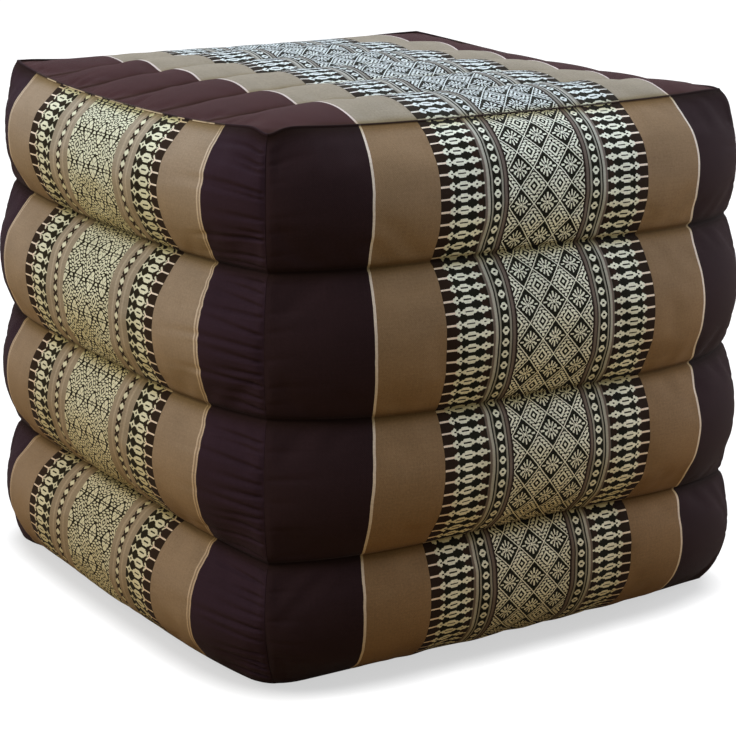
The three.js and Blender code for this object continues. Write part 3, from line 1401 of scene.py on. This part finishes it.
@dataclass(frozen=True)
class FirstCloth(Cloth):
    """The front, back and top cloth: lattice, stripes with a slim chain, motif band, beige, brown.

    Attributes:
        lattice_half: Half the width of the lattice.
        stripes_end: Where the stripes end.
        blocks: Between which distances the band's ground is the darker one.
        stems: Between which distances the band's yarn is the warmer one of its stems.
        band_end: Where the band ends and the beige begins.
        beige_end: Where the beige ends and the light line begins.
        line_end: Where that line ends and the brown begins.
        chain_start: Where the slim chain begins.
        reach: Where the ramp of the ground colours ends.
        flower_shift: How far the lattice is shifted along the cloth.
        band_shift: The same for the band and the chain.
    """

    lattice_half: float = 29.2
    stripes_end: float = 47.6
    blocks: tuple[float, float] = (52.0, 69.0)
    stems: tuple[float, float] = (72.0, 79.0)
    band_end: float = 78.5
    beige_end: float = 119.9
    line_end: float = 121.3
    chain_start: float = 35.3
    reach: float = 127.5
    flower_shift: float = -7.3
    band_shift: float = -1.6

    def pattern(
        self, tree: Tree, effects: Effects, across: Socket, along: Socket
    ) -> tuple[Socket, Socket]:
        """Draws the first weave's pattern."""
        c = self.colours
        off = tree.absolute(across)
        shifted = tree.plus(along, self.band_shift)
        lattice = effects.first_lattice.place(
            tree, Across=across, Along=tree.plus(along, self.flower_shift)
        )["Mask"]
        band = effects.first_band.place(
            tree, Across=tree.minus(self.band_end, off), Along=shifted
        )["Mask"]
        chain = effects.first_chain.place(
            tree, Across=tree.minus(off, self.chain_start), Along=shifted
        )["Mask"]
        light = tree.any(tree.both(lattice, tree.below(off, self.lattice_half)), band, chain)
        starts = [
            (0.0, c.ground),
            (self.stripes_end, c.ground_outer),
            (self.blocks[0], c.ground),
            (self.blocks[1], c.ground_outer),
            (self.band_end, c.beige),
            (self.beige_end, c.line),
            (self.line_end, c.brown),
        ]
        zone = zones(tree, off, self.reach, starts)
        stripes = tree.ramp(
            tree.fit(off, self.lattice_half, self.stripes_end), self._stripes(), "LINEAR"
        )
        zone = tree.blend(tree.between(off, self.lattice_half, self.stripes_end), zone, stripes)
        yarn = tree.blend(tree.between(off, *self.stems), linear(c.light), linear(c.stem))
        line = tree.between(off, self.beige_end, self.line_end)
        return tree.blend(light, zone, yarn), tree.any(light, line)

    def _stripes(self) -> list[tuple[float, Colour]]:
        """Gives the slim stripes between the lattice and the band, from the lattice out."""
        c = self.colours
        places = [
            (0.0, c.stripe_dark),
            (1.1, c.stripe_dark),
            (1.7, c.stripe),
            (3.0, c.stripe),
            (3.6, c.stripe_dark),
            (4.0, c.stripe_dark),
            (4.3, c.chain_line),
            (5.4, c.chain_line),
            (5.7, c.ground),
            (11.8, c.ground),
            (12.1, c.chain_line),
            (13.0, c.chain_line),
            (13.2, c.ground),
            (14.0, c.ground),
            (14.3, c.beige_light),
            (15.7, c.beige_light),
            (16.4, c.stripe),
            (17.5, c.stripe),
            (18.2, c.ground),
        ]
        width = self.stripes_end - self.lattice_half
        return [(place / width, linear(colour)) for place, colour in places]


@dataclass(frozen=True)
class SecondCloth(Cloth):
    """The left and right cloth: a dense lattice, beige stripes with a chain, band, beige, brown.

    Attributes:
        lattice_half: Half the width of the lattice.
        stripes_end: Where the beige stripes end and the band begins.
        ring_end: Where the band's darker ground ends.
        stems: Between which distances the band's yarn is the warmer one of its stems.
        band_end: Where the band ends and the beige begins.
        beige_end: Where the beige ends and the double line begins.
        line_end: Where that line ends and the brown begins.
        line_width: Width of each half of it.
        reach: Where the ramp of the ground colours ends.
        ribs: Where the ribs in the beige stripes lie.
        rib_half: Half the width of a rib at its crest and at its foot.
        rib_share: How much a rib differs in colour.
        rib_rise: How far it stands up, against a light yarn.
        chain_middle: Where the chain of diamonds and bow ties lies.
        chain_half: Half its width.
        chain_step: Size of the steps that its edges follow.
        diamond_slope: How steep a diamond's sides are.
        diamond_size: How large it is.
        notch_from: How far from a diamond's middle the bow tie's notch begins.
        notch_off: How far off the chain's middle line it begins.
        bow_tie_from: How far from a diamond's middle the bow tie begins.
        flower_shift: How far the lattice is shifted across and along the cloth.
        band_shift: How far the band and the chain are shifted along it.
    """

    lattice_half: float = 32.2
    stripes_end: float = 57.6
    ring_end: float = 77.0
    stems: tuple[float, float] = (80.5, 89.6)
    band_end: float = 89.2
    beige_end: float = 127.4
    line_end: float = 130.7
    line_width: float = 0.9
    reach: float = 147.0
    ribs: tuple[float, float] = (38.6, 51.6)
    rib_half: tuple[float, float] = (0.5, 1.5)
    rib_share: float = 0.75
    rib_rise: float = 0.6
    chain_middle: float = 44.9
    chain_half: float = 2.5
    chain_step: float = 0.3
    diamond_slope: float = 1.65
    diamond_size: float = 0.95
    notch_from: float = 0.78
    notch_off: float = 0.62
    bow_tie_from: float = 0.3
    flower_shift: tuple[float, float] = (-5.2, 4.4)
    band_shift: float = -3.65

    def pattern(
        self, tree: Tree, effects: Effects, across: Socket, along: Socket
    ) -> tuple[Socket, Socket]:
        """Draws the second weave's pattern."""
        c = self.colours
        off = tree.absolute(across)
        shifted = tree.plus(along, self.band_shift)
        lattice = effects.second_lattice.place(
            tree,
            Across=tree.plus(across, self.flower_shift[0]),
            Along=tree.plus(along, self.flower_shift[1]),
        )["Mask"]
        band = effects.second_band.place(
            tree, Across=tree.minus(self.band_end, off), Along=shifted
        )["Mask"]
        diamond, bow_tie = self._chain(tree, off, shifted)
        light = tree.any(tree.both(lattice, tree.below(off, self.lattice_half)), band, diamond)
        starts = [
            (0.0, c.ground),
            (self.lattice_half, c.beige_light),
            (self.stripes_end, c.ground),
            (self.ring_end, c.ground_outer),
            (self.band_end, c.beige),
            (self.beige_end, c.line),
            (self.beige_end + self.line_width, c.beige),
            (self.line_end - self.line_width, c.line),
            (self.line_end, c.brown),
        ]
        zone = zones(tree, off, self.reach, starts)
        ribs = tree.any(
            *(tree.fit(tree.absolute(tree.minus(off, rib)), *self.rib_half, 1.0, 0.0) for rib in self.ribs)
        )
        zone = tree.blend(tree.times(ribs, self.rib_share), zone, linear(c.stripe))
        zone = tree.blend(bow_tie, zone, linear(c.ground_outer))
        yarn = tree.blend(tree.between(off, *self.stems), linear(c.light), linear(c.stem))
        line = tree.between(off, self.beige_end, self.line_end)
        return tree.blend(light, zone, yarn), tree.any(light, line, tree.times(ribs, self.rib_rise))

    def _chain(self, tree: Tree, off: Socket, along: Socket) -> tuple[Socket, Socket]:
        """Draws the chain in the beige stripes.

        Args:
            tree: The material's tree.
            off: Distance from the cloth's middle line.
            along: Place along the cloth, shifted to the chain's repeat.

        Returns:
            The masks of its light diamonds and of the dark bow ties between them.
        """
        aside = tree.absolute(tree.minus(off, self.chain_middle))
        aside = tree.divided(tree.snapped(aside, self.chain_step), self.chain_half)
        turn = tree.math("PINGPONG", along, REPEAT / 2)
        turn = tree.divided(tree.snapped(turn, self.chain_step), REPEAT / 2)
        slope = tree.plus(aside, tree.times(turn, self.diamond_slope))
        diamond = tree.below(slope, self.diamond_size)
        notch = tree.both(tree.above(turn, self.notch_from), tree.above(aside, self.notch_off))
        bow_tie = tree.both(
            tree.below(aside, 1.0), tree.minus(1.0, notch), tree.above(turn, self.bow_tie_from)
        )
        return diamond, bow_tie


FIRST_COLOURS = ClothColours(
    light="#d3dacd",
    stem="#dacfc2",
    ground="#171811",
    ground_outer="#241a13",
    beige="#7a6750",
    beige_light="#9b9e96",
    line="#c4bdb4",
    brown="#25191c",
    stripe="#645c57",
    stripe_dark="#241b18",
    chain_line="#868880",
)
# The first cloth again for the top: greyer, bluer and with a lighter brown, the painted sheen and bluish
# light of the top.
TOP_PAINTED_SHEEN_COLOURS = ClothColours(
    light="#c6d1d2",
    stem="#c2c2bd",
    ground="#20221c",
    ground_outer="#26221c",
    beige="#847e70",
    beige_light="#989a94",
    line="#bdb4b0",
    brown="#3b2627",
    stripe="#757570",
    stripe_dark="#2a2320",
    chain_line="#989c98",
)
SECOND_COLOURS = ClothColours(
    light="#c1c6b0",
    stem="#cfc5b6",
    ground="#1f1c10",
    ground_outer="#261c13",
    beige="#827564",
    beige_light="#847d6e",
    line="#aca08f",
    brown="#2a1d25",
    stripe="#9a9282",
    stripe_dark="#2d2018",
    chain_line="#7b7a68",
)


# ---- Panels ----------------------------------------------------------------------------------


@dataclass
class Panel:
    """One cloth panel of the pouf, which stands for one solid of the frame.

    Attributes:
        name: Name of the piece.
        node: The solid that it stands for.
        slot: Name of a material slot; it is not used.
        finish: Its cloth.
        shape: The sizes that it shares with the others.
        fill: How tightly it is stuffed, from 0 to 1; it is not used.
    """

    name: str
    node: str
    slot: str
    finish: Cloth
    shape: PoufShape = field(default_factory=PoufShape)
    fill: float = 0.8

    def grid(self) -> ClothGrid:
        """Lays out the cloth."""
        raise NotImplementedError

    def gather(self, grid: ClothGrid) -> None:
        """Adds the fine folds that the seams gather; a plain panel has none."""

    def heart(self) -> tuple[float, float, float]:
        """Gives the inner tip of the filled panel."""
        raise NotImplementedError

    def build(
        self, grid: ClothGrid, effects: Effects, materials: dict[str, bpy.types.Material]
    ) -> bpy.types.Object:
        """Args:
            grid: Its cloth, settled round the stuffing.
            effects: The shared node groups.
            materials: Finished materials by name, which this adds to.

        Returns:
            The piece.
        """
        self.gather(grid)
        grid.points = self.shape.eased(grid.points)
        piece = FilledPiece(self.name, grid, self.heart()).make()
        if self.finish.name not in materials:
            materials[self.finish.name] = self.finish.finish(effects)
        piece.data.materials.append(materials[self.finish.name])
        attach(piece, BODY)
        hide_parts(self.node)
        LOG.info("%s: %d faces, stands for %s", piece.name, len(piece.data.polygons), self.node)
        return piece


@dataclass
class ChannelledPanel(Panel):
    """A panel that is sewn into stuffed channels.

    Attributes:
        puckers: The folds that run in from its two side seams.
        columns: How many steps the cloth has across.
        rows_each: How many steps each channel has along it.
        crease_reach: How far the cloth counts as close to a crease.
    """

    puckers: Puckers = Puckers(6, 0.5, 2.3, (12, 30), 0.15, 1)
    columns: int = 150
    rows_each: int = 90
    crease_reach: float = 5.0

    def _columns(self) -> np.ndarray:
        """Gives where the columns lie, from -1 to 1."""
        return crowded(self.columns, COLUMN_CROWDING)[:, None]

    def _rows(self, last: bool) -> np.ndarray:
        """Gives where a channel's rows lie, from 0 to 1; only the last has its upper crease too."""
        rows = (crowded(self.rows_each, ROW_CROWDING) + 1) / 2
        return rows if last else rows[:-1]

    def _folds(self, grid: ClothGrid, half: float, channels: int) -> np.ndarray:
        """Gives the rise of the folds at both ends of every channel.

        Args:
            grid: The cloth.
            half: Half the length of a channel.
            channels: How many there are.

        Returns:
            The rise of each point.
        """
        s = self._columns()
        along = grid.cloth[..., 1]
        rise = np.zeros(along.shape)
        for index in range(channels):
            span = tuple(along[0, (index + end) * self.rows_each] for end in (0, 1))
            for end, share in enumerate((self.puckers.far_end, 1.0)):
                away = (1 - s if end else 1 + s) * half
                rise += share * self.puckers.rise(away, along, span, 2 * index + end)
        return rise * (1 - grid.crease)


@dataclass
class SidePanel(ChannelledPanel):
    """A front, back, left or right panel: four channels and a turned-up edge along the top seam.

    Attributes:
        facing: Which sizes it follows.
        quarter_turns: How far it is turned about the upright axis from facing the front.
        pattern_middle: Where the pattern's middle line runs, across the panel.
        pulled: How far the cloth is pulled to the right at its left and right ends.
        pulled_at_creases: The same at the creases alone.
        pulled_from: How far out from the middle that is, as a share of the half width.
        pulled_reach: How far from a crease its pull reaches.
        measured_at: Where across the panel a channel's cloth is measured.
        creases_from: Heights between which the creases begin to be drawn in.
        creases_to: Heights between which they stop.
        folds_to: Heights between which the folds stop.
        grooves_from: Heights between which the upright grooves begin.
        grooves_to: Heights between which they stop.
    """

    facing: Facing = Facing.FRONT
    quarter_turns: int = 0
    pattern_middle: float = 0.0
    pulled: tuple[float, float] = (2.7, 1.8)
    pulled_at_creases: tuple[float, float] = (0.0, 8.0)
    pulled_from: float = 0.7
    pulled_reach: float = 15.0
    measured_at: float = 0.25
    creases_from: tuple[float, float] = (30, 50)
    creases_to: tuple[float, float] = (325, 310)
    folds_to: tuple[float, float] = (347, 337)
    grooves_from: tuple[float, float] = (6, 26)
    grooves_to: tuple[float, float] = (347, 335)

    def _line(self, index: int, s: np.ndarray) -> tuple[np.ndarray, ...]:
        """Gives the across, out, up and turn of a line at s."""
        line = self.shape.lines[index]
        bow, dip, _ = line.pick(self.facing)
        power = self.shape.bow_power
        return (
            s * (line.half - CLOTH_GAP / DIAGONAL),
            line.half + bow * self.shape.fullness(s),
            line.height - dip * (1 - s**2),
            np.arctan(power * bow * s ** (power - 1) / line.half),
        )

    def _channel(self, index: int, s: np.ndarray, step: np.ndarray) -> np.ndarray:
        """Gives the points of a channel, for columns at s and rows at each step."""
        channel = self.shape.channels[index]
        low = self._line(index, s)
        high = self._line(index + 1, s)
        lean = np.arctan2(low[1] - high[1], high[2] - low[2])
        chord = np.hypot(high[1] - low[1], high[2] - low[2])
        puff_middle = channel.puff_front if self.facing is Facing.FRONT else channel.puff_side
        puff = mix(puff_middle, channel.puff_seam, s**self.shape.puff_power)
        along, rise = arc_points(step, chord, puff)
        turn = mix(low[3], high[3], along)
        turn = mix(turn, np.sign(s) * math.pi / 4, s**self.shape.turn_power)
        return np.stack(
            [
                mix(low[0], high[0], along) + rise * np.cos(lean) * np.sin(turn),
                mix(low[1], high[1], along) + rise * np.cos(lean) * np.cos(turn),
                mix(low[2], high[2], along) + rise * np.sin(lean),
            ],
            axis=-1,
        )

    def _length(self, index: int) -> float:
        """Measures a channel's cloth from crease to crease."""
        steps = np.linspace(0, 1, 65)[None, :]
        middle = self._channel(index, np.array([[self.measured_at]]), steps)[0]
        return float(np.linalg.norm(np.diff(middle, axis=0), axis=1).sum())

    def _across(self, index: int, s: np.ndarray, rows: np.ndarray, length: float) -> np.ndarray:
        """Gives how far a channel's points are from the pattern's middle line.

        Args:
            index: Which channel.
            s: Where its columns lie, from -1 to 1.
            rows: Where its rows lie, from 0 to 1.
            length: Length of its cloth from crease to crease.

        Returns:
            The distance to the right, on the flat cloth.
        """
        low, high = self.shape.lines[index : index + 2]
        lean = mix(low.pick(self.facing)[2], high.pick(self.facing)[2], rows)
        creases = closeness(np.minimum(rows, 1 - rows) * length, self.pulled_reach)
        if index == len(self.shape.channels) - 1:
            creases = creases * (rows < 0.5)
        across = s * mix(low.half, high.half, rows) - lean - self.pattern_middle
        for side, everywhere, at_creases in zip((-1, 1), self.pulled, self.pulled_at_creases):
            share = np.clip(side * s / self.pulled_from, 0, 1) ** 3
            across = across - share * (everywhere + at_creases * creases)
        return across

    def grid(self) -> ClothGrid:
        """Lays out the cloth with its turned-up edge, and turns it to its side of the pouf."""
        s = self._columns()
        last = len(self.shape.channels) - 1
        parts, flat, near = [], [], []
        start = 0.0
        for index in range(last + 1):
            rows = self._rows(index == last)
            length = self._length(index)
            parts.append(self._channel(index, s, rows[None, :]))
            across = self._across(index, s, rows, length)
            flat.append(np.stack([across, np.broadcast_to(start + rows * length, across.shape)], axis=-1))
            distance = np.minimum(rows, 1 - rows) * length
            near.append(np.broadcast_to(closeness(distance, self.crease_reach), across.shape))
            start += length
        edge = self._turned_up_edge(s)
        points = np.concatenate([*parts, edge], axis=1)
        cloth = np.concatenate(flat, axis=1)
        crease = np.concatenate(near, axis=1)
        seam_row = cloth.shape[1] - 1
        edge_cloth = np.repeat(cloth[:, -1:], edge.shape[1], axis=1)
        edge_steps = np.linalg.norm(np.diff(points[:, seam_row:], axis=1), axis=2)
        edge_cloth[..., 1] += np.cumsum(edge_steps, axis=1)
        edge_crease = np.repeat(crease[:, -1:] / 2, edge.shape[1], axis=1)
        angle = self.quarter_turns * math.pi / 2
        cosine, sine = math.cos(angle), math.sin(angle)
        turn = np.array([[cosine, -sine, 0], [sine, cosine, 0], [0, 0, 1]])
        return ClothGrid(
            (points * [1, -1, 1]) @ turn.T,
            np.concatenate([cloth, edge_cloth], axis=1),
            np.concatenate([crease, edge_crease], axis=1),
            seam_row,
        )

    def gather(self, grid: ClothGrid) -> None:
        """Draws the cloth in along its creases and upright seams, and puckers it there."""
        shape = self.shape
        height = grid.points[..., 2]
        drawn_in = rising(height, *self.creases_from) * rising(height, *self.creases_to)
        grid.push(-shape.crease_depth * grid.crease**CREASE_SHARPNESS * drawn_in)
        half = shape.lines[1].half
        grid.push(self._folds(grid, half, len(shape.channels)) * rising(height, *self.folds_to))
        outward = np.sign(grid.points) * [1, 1, 0] / DIAGONAL
        groove = closeness((1 - np.abs(self._columns())) * half, shape.groove_reach)
        groove = groove * rising(height, *self.grooves_from) * rising(height, *self.grooves_to)
        grid.points = grid.points - outward * shape.groove_depth * groove[..., None]

    def _turned_up_edge(self, s: np.ndarray) -> np.ndarray:
        """Gives the rows of the seam's turned-up edge: up its outside, over, and down its inside."""
        shape = self.shape
        top = shape.lines[-1]
        bow, dip, _ = top.pick(self.facing)
        deepest, highest = (max(sizes) for sizes in zip(*shape.edge_profile))
        rows = []
        for inwards, up in shape.edge_profile:
            half = top.half - inwards * shape.edge_thickness / deepest
            row = (
                s * (half - CLOTH_GAP / DIAGONAL),
                half + bow * shape.fullness(s),
                top.height - dip * (1 - s**2) + up * shape.edge_rise / highest,
            )
            rows.append(np.concatenate(row, axis=1))
        return np.stack(rows, axis=1)

    def heart(self) -> tuple[float, float, float]:
        """Gives the inner tip, a gap short of the pouf's heart."""
        angle = self.quarter_turns * math.pi / 2
        return (math.sin(angle) * CLOTH_GAP, -math.cos(angle) * CLOTH_GAP, self.shape.heart_height)


@dataclass
class TopPanel(ChannelledPanel):
    """The top: six channels that run from the left seam to the right one.

    Attributes:
        pattern_middle: Where the pattern's middle line runs at the front.
        pattern_lean: How far it has moved to the left at the back.
        crease_share: How deep its creases are, against those of the sides.
        creases_to: Share of the half depth where the creases stop being drawn in, from none left.
    """

    puckers: Puckers = Puckers(4, 0.8, 2.4, (8, 22), 0.25, 9)
    rows_each: int = 30
    crease_reach: float = 4.0
    pattern_middle: float = 6.0
    pattern_lean: float = 3.0
    crease_share: float = 0.6
    creases_to: tuple[float, float] = (0.93, 0.88)

    def _points(self, u: np.ndarray, v: np.ndarray, rise: np.ndarray) -> np.ndarray:
        """Gives points on top, for places u across and v along it and a channel's rise there."""
        shape = self.shape
        seam = shape.lines[-1]
        half = seam.half - shape.edge_thickness - CLOTH_GAP * DIAGONAL
        dips = seam.dip[0] * (1 - u**2) * v**2 + seam.dip[1] * (1 - v**2) * u**2
        crown = shape.top_crown * shape.fullness(u) * shape.fullness(v)
        return np.stack(
            [
                u * (half + seam.bow[1] * shape.fullness(v)),
                v * (half + seam.bow[0] * shape.fullness(u)),
                seam.height - dips + crown + rise * (1 - u**shape.puff_power),
            ],
            axis=-1,
        )

    def grid(self) -> ClothGrid:
        """Lays out the cloth."""
        channels = self.shape.top_channels
        u = self._columns()
        skew = self.shape.top_skew / self.shape.lines[-1].half
        total = sum(width for width, _ in channels)
        start, walked = 0.0, 0.0
        parts, flat, near = [], [], []
        for index, (width, puff) in enumerate(channels):
            rows = self._rows(index == len(channels) - 1)
            along, rise = arc_points(rows, width, puff)
            v = (-1 + 2 * (start + along * width) / total)[None, :]
            v = v - skew * u * (1 - v**2)
            points = self._points(u, v, rise[None, :])
            parts.append(points)
            length = width * (1 + 8 / 3 * (puff / width) ** 2)  # that of a shallow arc
            place = np.broadcast_to(walked + rows * length, points.shape[:2])
            middle = self.pattern_middle - self.pattern_lean * (1 + v) / 2
            flat.append(np.stack([points[..., 0] - middle, place], axis=-1))
            distance = np.minimum(rows, 1 - rows) * length
            near.append(np.broadcast_to(closeness(distance, self.crease_reach), points.shape[:2]))
            start += width
            walked += length
        points, cloth, crease = (np.concatenate(part, axis=1) for part in (parts, flat, near))
        return ClothGrid(points, cloth, crease, points.shape[1] - 1)

    def gather(self, grid: ClothGrid) -> None:
        """Draws the cloth in along its creases, and puckers it at the ends of the channels."""
        half = self.shape.lines[-1].half
        drawn_in = rising(np.abs(grid.points[..., 1] / half), *self.creases_to)
        depth = self.crease_share * self.shape.crease_depth
        grid.push(-depth * grid.crease**CREASE_SHARPNESS * drawn_in)
        grid.push(self._folds(grid, half, len(self.shape.top_channels)))

    def heart(self) -> tuple[float, float, float]:
        """Gives the inner tip, a gap above the pouf's heart."""
        return (0.0, 0.0, self.shape.heart_height + CLOTH_GAP)


@dataclass
class BottomPanel(Panel):
    """The plain underside: flat on the floor, and rising to its seam at the edges.

    Attributes:
        steps: How many steps the flat part has each way.
        rim_steps: How many the rising part has.
    """

    steps: int = 60
    rim_steps: int = 5

    def grid(self) -> ClothGrid:
        """Lays out the cloth."""
        shape = self.shape
        seam = shape.lines[0]
        half = seam.half - CLOTH_GAP * DIAGONAL
        flat = np.linspace(-shape.foot_share, shape.foot_share, self.steps + 1)
        rim = np.linspace(shape.foot_share, 1, self.rim_steps + 1)[1:]
        place = np.concatenate([-rim[::-1], flat, rim])
        u, v = -place[:, None], place[None, :]
        lift = rising(np.maximum(np.abs(u), np.abs(v)), shape.foot_share, 1) ** 2
        points = np.stack(
            [
                u * (half + seam.bow[1] * shape.fullness(v)),
                v * (half + seam.bow[0] * shape.fullness(u)),
                seam.height * lift,
            ],
            axis=-1,
        )
        return ClothGrid(points, points[..., :2] * [-1, 1], lift, points.shape[1] - 1)

    def heart(self) -> tuple[float, float, float]:
        """Gives the inner tip, a gap below the pouf's heart."""
        return (0.0, 0.0, self.shape.heart_height - CLOTH_GAP)


# ---- Stage -----------------------------------------------------------------------------------


@dataclass(frozen=True)
class Lamp:
    """A square soft light.

    Attributes:
        name: Name of the light.
        place: Where it hangs, in metres.
        target: The point that it faces.
        size: Length of its side in metres.
        power: Its power in watts.
        colour: Its colour.
    """

    name: str
    place: tuple[float, float, float]
    target: tuple[float, float, float]
    size: float
    power: float
    colour: str

    def hang(self) -> None:
        """Hangs the light."""
        data = bpy.data.lights.new(self.name, "AREA")
        data.shape = "SQUARE"
        data.size = self.size
        data.energy = self.power
        data.color = linear(self.colour)[:3]
        lamp = bpy.data.objects.new(self.name, data)
        way = Vector(self.target) - Vector(self.place)
        turn = way.to_track_quat("-Z", "Y").to_matrix().to_4x4()
        lamp.matrix_world = Matrix.Translation(Vector(self.place)) @ turn
        bpy.context.scene.collection.objects.link(lamp)


FLOOR_CORNERS = ((-1, -1), (1, -1), (1, 1), (-1, 1))


@dataclass(frozen=True)
class Studio:
    """A plain pale floor, soft lights and the camera.

    Attributes:
        camera_place: Where the camera stands, in millimetres.
        yaw: How far it looks to the right of straight ahead, in degrees.
        pitch: How far it looks down.
        roll: How far it leans to the left.
        lens: Its focal length, for a sensor of the width below.
        sensor: Width of the sensor.
        furthest: How far it sees, in metres.
        lamps: The soft lights.
        sky: Strength of the light from all around.
        sky_tint: Colour of that light.
        floor_half: Half the side of the floor, in metres.
        floor_paint: Colour of the floor where it is seen.
        floor_glow: How brightly it shines there, so that it looks nearly white.
        floor_bounce: Colour of the light that it throws back on the cloth.
        shadow_reach: How far a soft shadow reaches around the pouf's foot, in metres.
        shadow_air: How open the floor is where that shadow is darkest, and where it ends.
        shadow_tone: How dark it is.
        shadow_samples: How finely it is drawn.
    """

    camera_place: tuple[float, float, float] = (-812.43, -1249.48, 551.14)
    yaw: float = 33.33
    pitch: float = 15.35
    roll: float = 0.53
    lens: float = 106.1
    sensor: float = 36.0
    furthest: float = 50.0
    lamps: tuple[Lamp, ...] = (
        Lamp("key", (-2.55, 0.8, 2.2), (0, 0, 0.2), 1.6, 80.0, "#fff4ea"),
        Lamp("top", (0.3, 1.2, 2.6), (0, 0, 0.3), 1.6, 48.0, "#dce9ff"),
        Lamp("right", (2.4, -0.57, 0.86), (0.15, 0, 0.24), 1.0, 56.0, "#f0effa"),
    )
    sky: float = 0.72
    sky_tint: Colour = (0.96, 0.98, 1.0, 1.0)
    floor_half: float = 12.0
    floor_paint: Colour = (0.12, 0.12, 0.12, 1.0)
    floor_glow: float = 1.0
    floor_bounce: Colour = (0.32, 0.23, 0.14, 1.0)
    shadow_reach: float = 0.022
    shadow_air: tuple[float, float] = (0.35, 0.95)
    shadow_tone: float = 0.58
    shadow_samples: int = 24

    def _camera(self) -> None:
        """Sets up the camera."""
        yaw, pitch, roll = (math.radians(angle) for angle in (self.yaw, self.pitch, self.roll))
        ahead = math.cos(pitch)
        view = Vector((math.sin(yaw) * ahead, math.cos(yaw) * ahead, -math.sin(pitch)))
        level = Vector((math.cos(yaw), -math.sin(yaw), 0))
        upright = level.cross(view)
        right = math.cos(roll) * level + math.sin(roll) * upright
        up = math.cos(roll) * upright - math.sin(roll) * level
        data = bpy.data.cameras.new("camera")
        data.lens = self.lens
        data.sensor_width = self.sensor
        data.clip_end = self.furthest
        camera = bpy.data.objects.new("camera", data)
        turn = Matrix((right, up, -view)).transposed().to_4x4()
        camera.matrix_world = Matrix.Translation(Vector(self.camera_place) * MM) @ turn
        bpy.context.scene.collection.objects.link(camera)
        bpy.context.scene.camera = camera

    def _floor(self) -> None:
        """Lays the floor."""
        corners = [(x * self.floor_half, y * self.floor_half, 0) for x, y in FLOOR_CORNERS]
        mesh = bpy.data.meshes.new("floor")
        mesh.from_pydata(corners, [], [tuple(range(len(corners)))])
        floor = bpy.data.objects.new("floor", mesh)
        bpy.context.scene.collection.objects.link(floor)
        floor.data.materials.append(self._floor_finish())

    def _floor_finish(self) -> bpy.types.Material:
        """Makes a floor that looks nearly white and throws little light back on the cloth."""
        material = bpy.data.materials.new("floor paint")
        material.use_nodes = True
        material.node_tree.nodes.clear()
        tree = Tree(material.node_tree)
        matt = {"Roughness": 1.0, "Specular IOR Level": 0.0}
        near = tree.node(
            "AmbientOcclusion", {"Distance": self.shadow_reach}, samples=self.shadow_samples
        )
        glow = tree.fit(near.outputs["AO"], *self.shadow_air, self.shadow_tone, 1.0)
        seen = {
            "Base Color": self.floor_paint,
            "Emission Color": tree.grey(glow),
            "Emission Strength": self.floor_glow,
        }
        bright = tree.node("BsdfPrincipled", {**matt, **seen})
        dull = tree.node("BsdfPrincipled", {**matt, "Base Color": self.floor_bounce})
        path = tree.node("LightPath").outputs["Is Camera Ray"]
        either = tree.node("MixShader", {0: path, 1: dull.outputs[0], 2: bright.outputs[0]})
        tree.node("OutputMaterial", {0: either.outputs[0]})
        return material

    def build(self) -> None:
        """Sets up the floor, the camera and the lights."""
        self._floor()
        self._camera()
        scene = bpy.context.scene
        scene.world = bpy.data.worlds.new("studio")
        scene.world.use_nodes = True
        background = scene.world.node_tree.nodes["Background"]
        background.inputs["Color"].default_value = self.sky_tint
        background.inputs["Strength"].default_value = self.sky
        for lamp in self.lamps:
            lamp.hang()
        scene.view_settings.view_transform = "Standard"
        LOG.info("studio: floor, %d lights and the camera", len(self.lamps))


def make_panels() -> list[Panel]:
    """Lists the six panels with their cloths; the plain bottom comes last."""
    first = FirstCloth("first patterned cloth", FIRST_COLOURS)
    # The top is the first cloth, with colours that paint its sheen and bluish light.
    top = FirstCloth("top patterned cloth with painted sheen", TOP_PAINTED_SHEEN_COLOURS)
    second = SecondCloth("second patterned cloth", SECOND_COLOURS, frayed=0.9)
    plain = Cloth("plain brown cloth", SECOND_COLOURS)
    front = {"slot": "front_cloth", "finish": first, "pattern_middle": -7.0}
    side = {
        "slot": "side_cloth",
        "finish": second,
        "pattern_middle": 2.0,
        "facing": Facing.SIDE,
        "puckers": Puckers(11, 2.1, 1.6, (20, 48), 0.16, 5, far_end=0.12),
        "pulled": (-4.0, 0.0),
        "pulled_at_creases": (0.0, -3.0),
    }
    return [
        SidePanel("front_panel", "panel_front", **front),
        SidePanel("left_panel", "panel_left", quarter_turns=-1, **side),
        SidePanel("back_panel", "panel_back", quarter_turns=2, **front),
        SidePanel("right_panel", "panel_right", quarter_turns=1, **side),
        TopPanel("top_panel", "panel_top", "top_cloth", top),
        BottomPanel("bottom_panel", "panel_bottom", "bottom_cloth", plain),
    ]


def main() -> None:
    """Builds the pouf panel by panel, then the studio."""
    logging.basicConfig(level=logging.INFO, format="%(message)s")
    effects = Effects()
    materials: dict[str, bpy.types.Material] = {}
    panels = make_panels()
    grids = [panel.grid() for panel in panels]
    Stuffing().settle(grids[:-1])
    for panel, grid in zip(panels, grids):
        panel.build(grid, effects, materials)
    Studio().build()


if __name__ == "__main__":
    main()
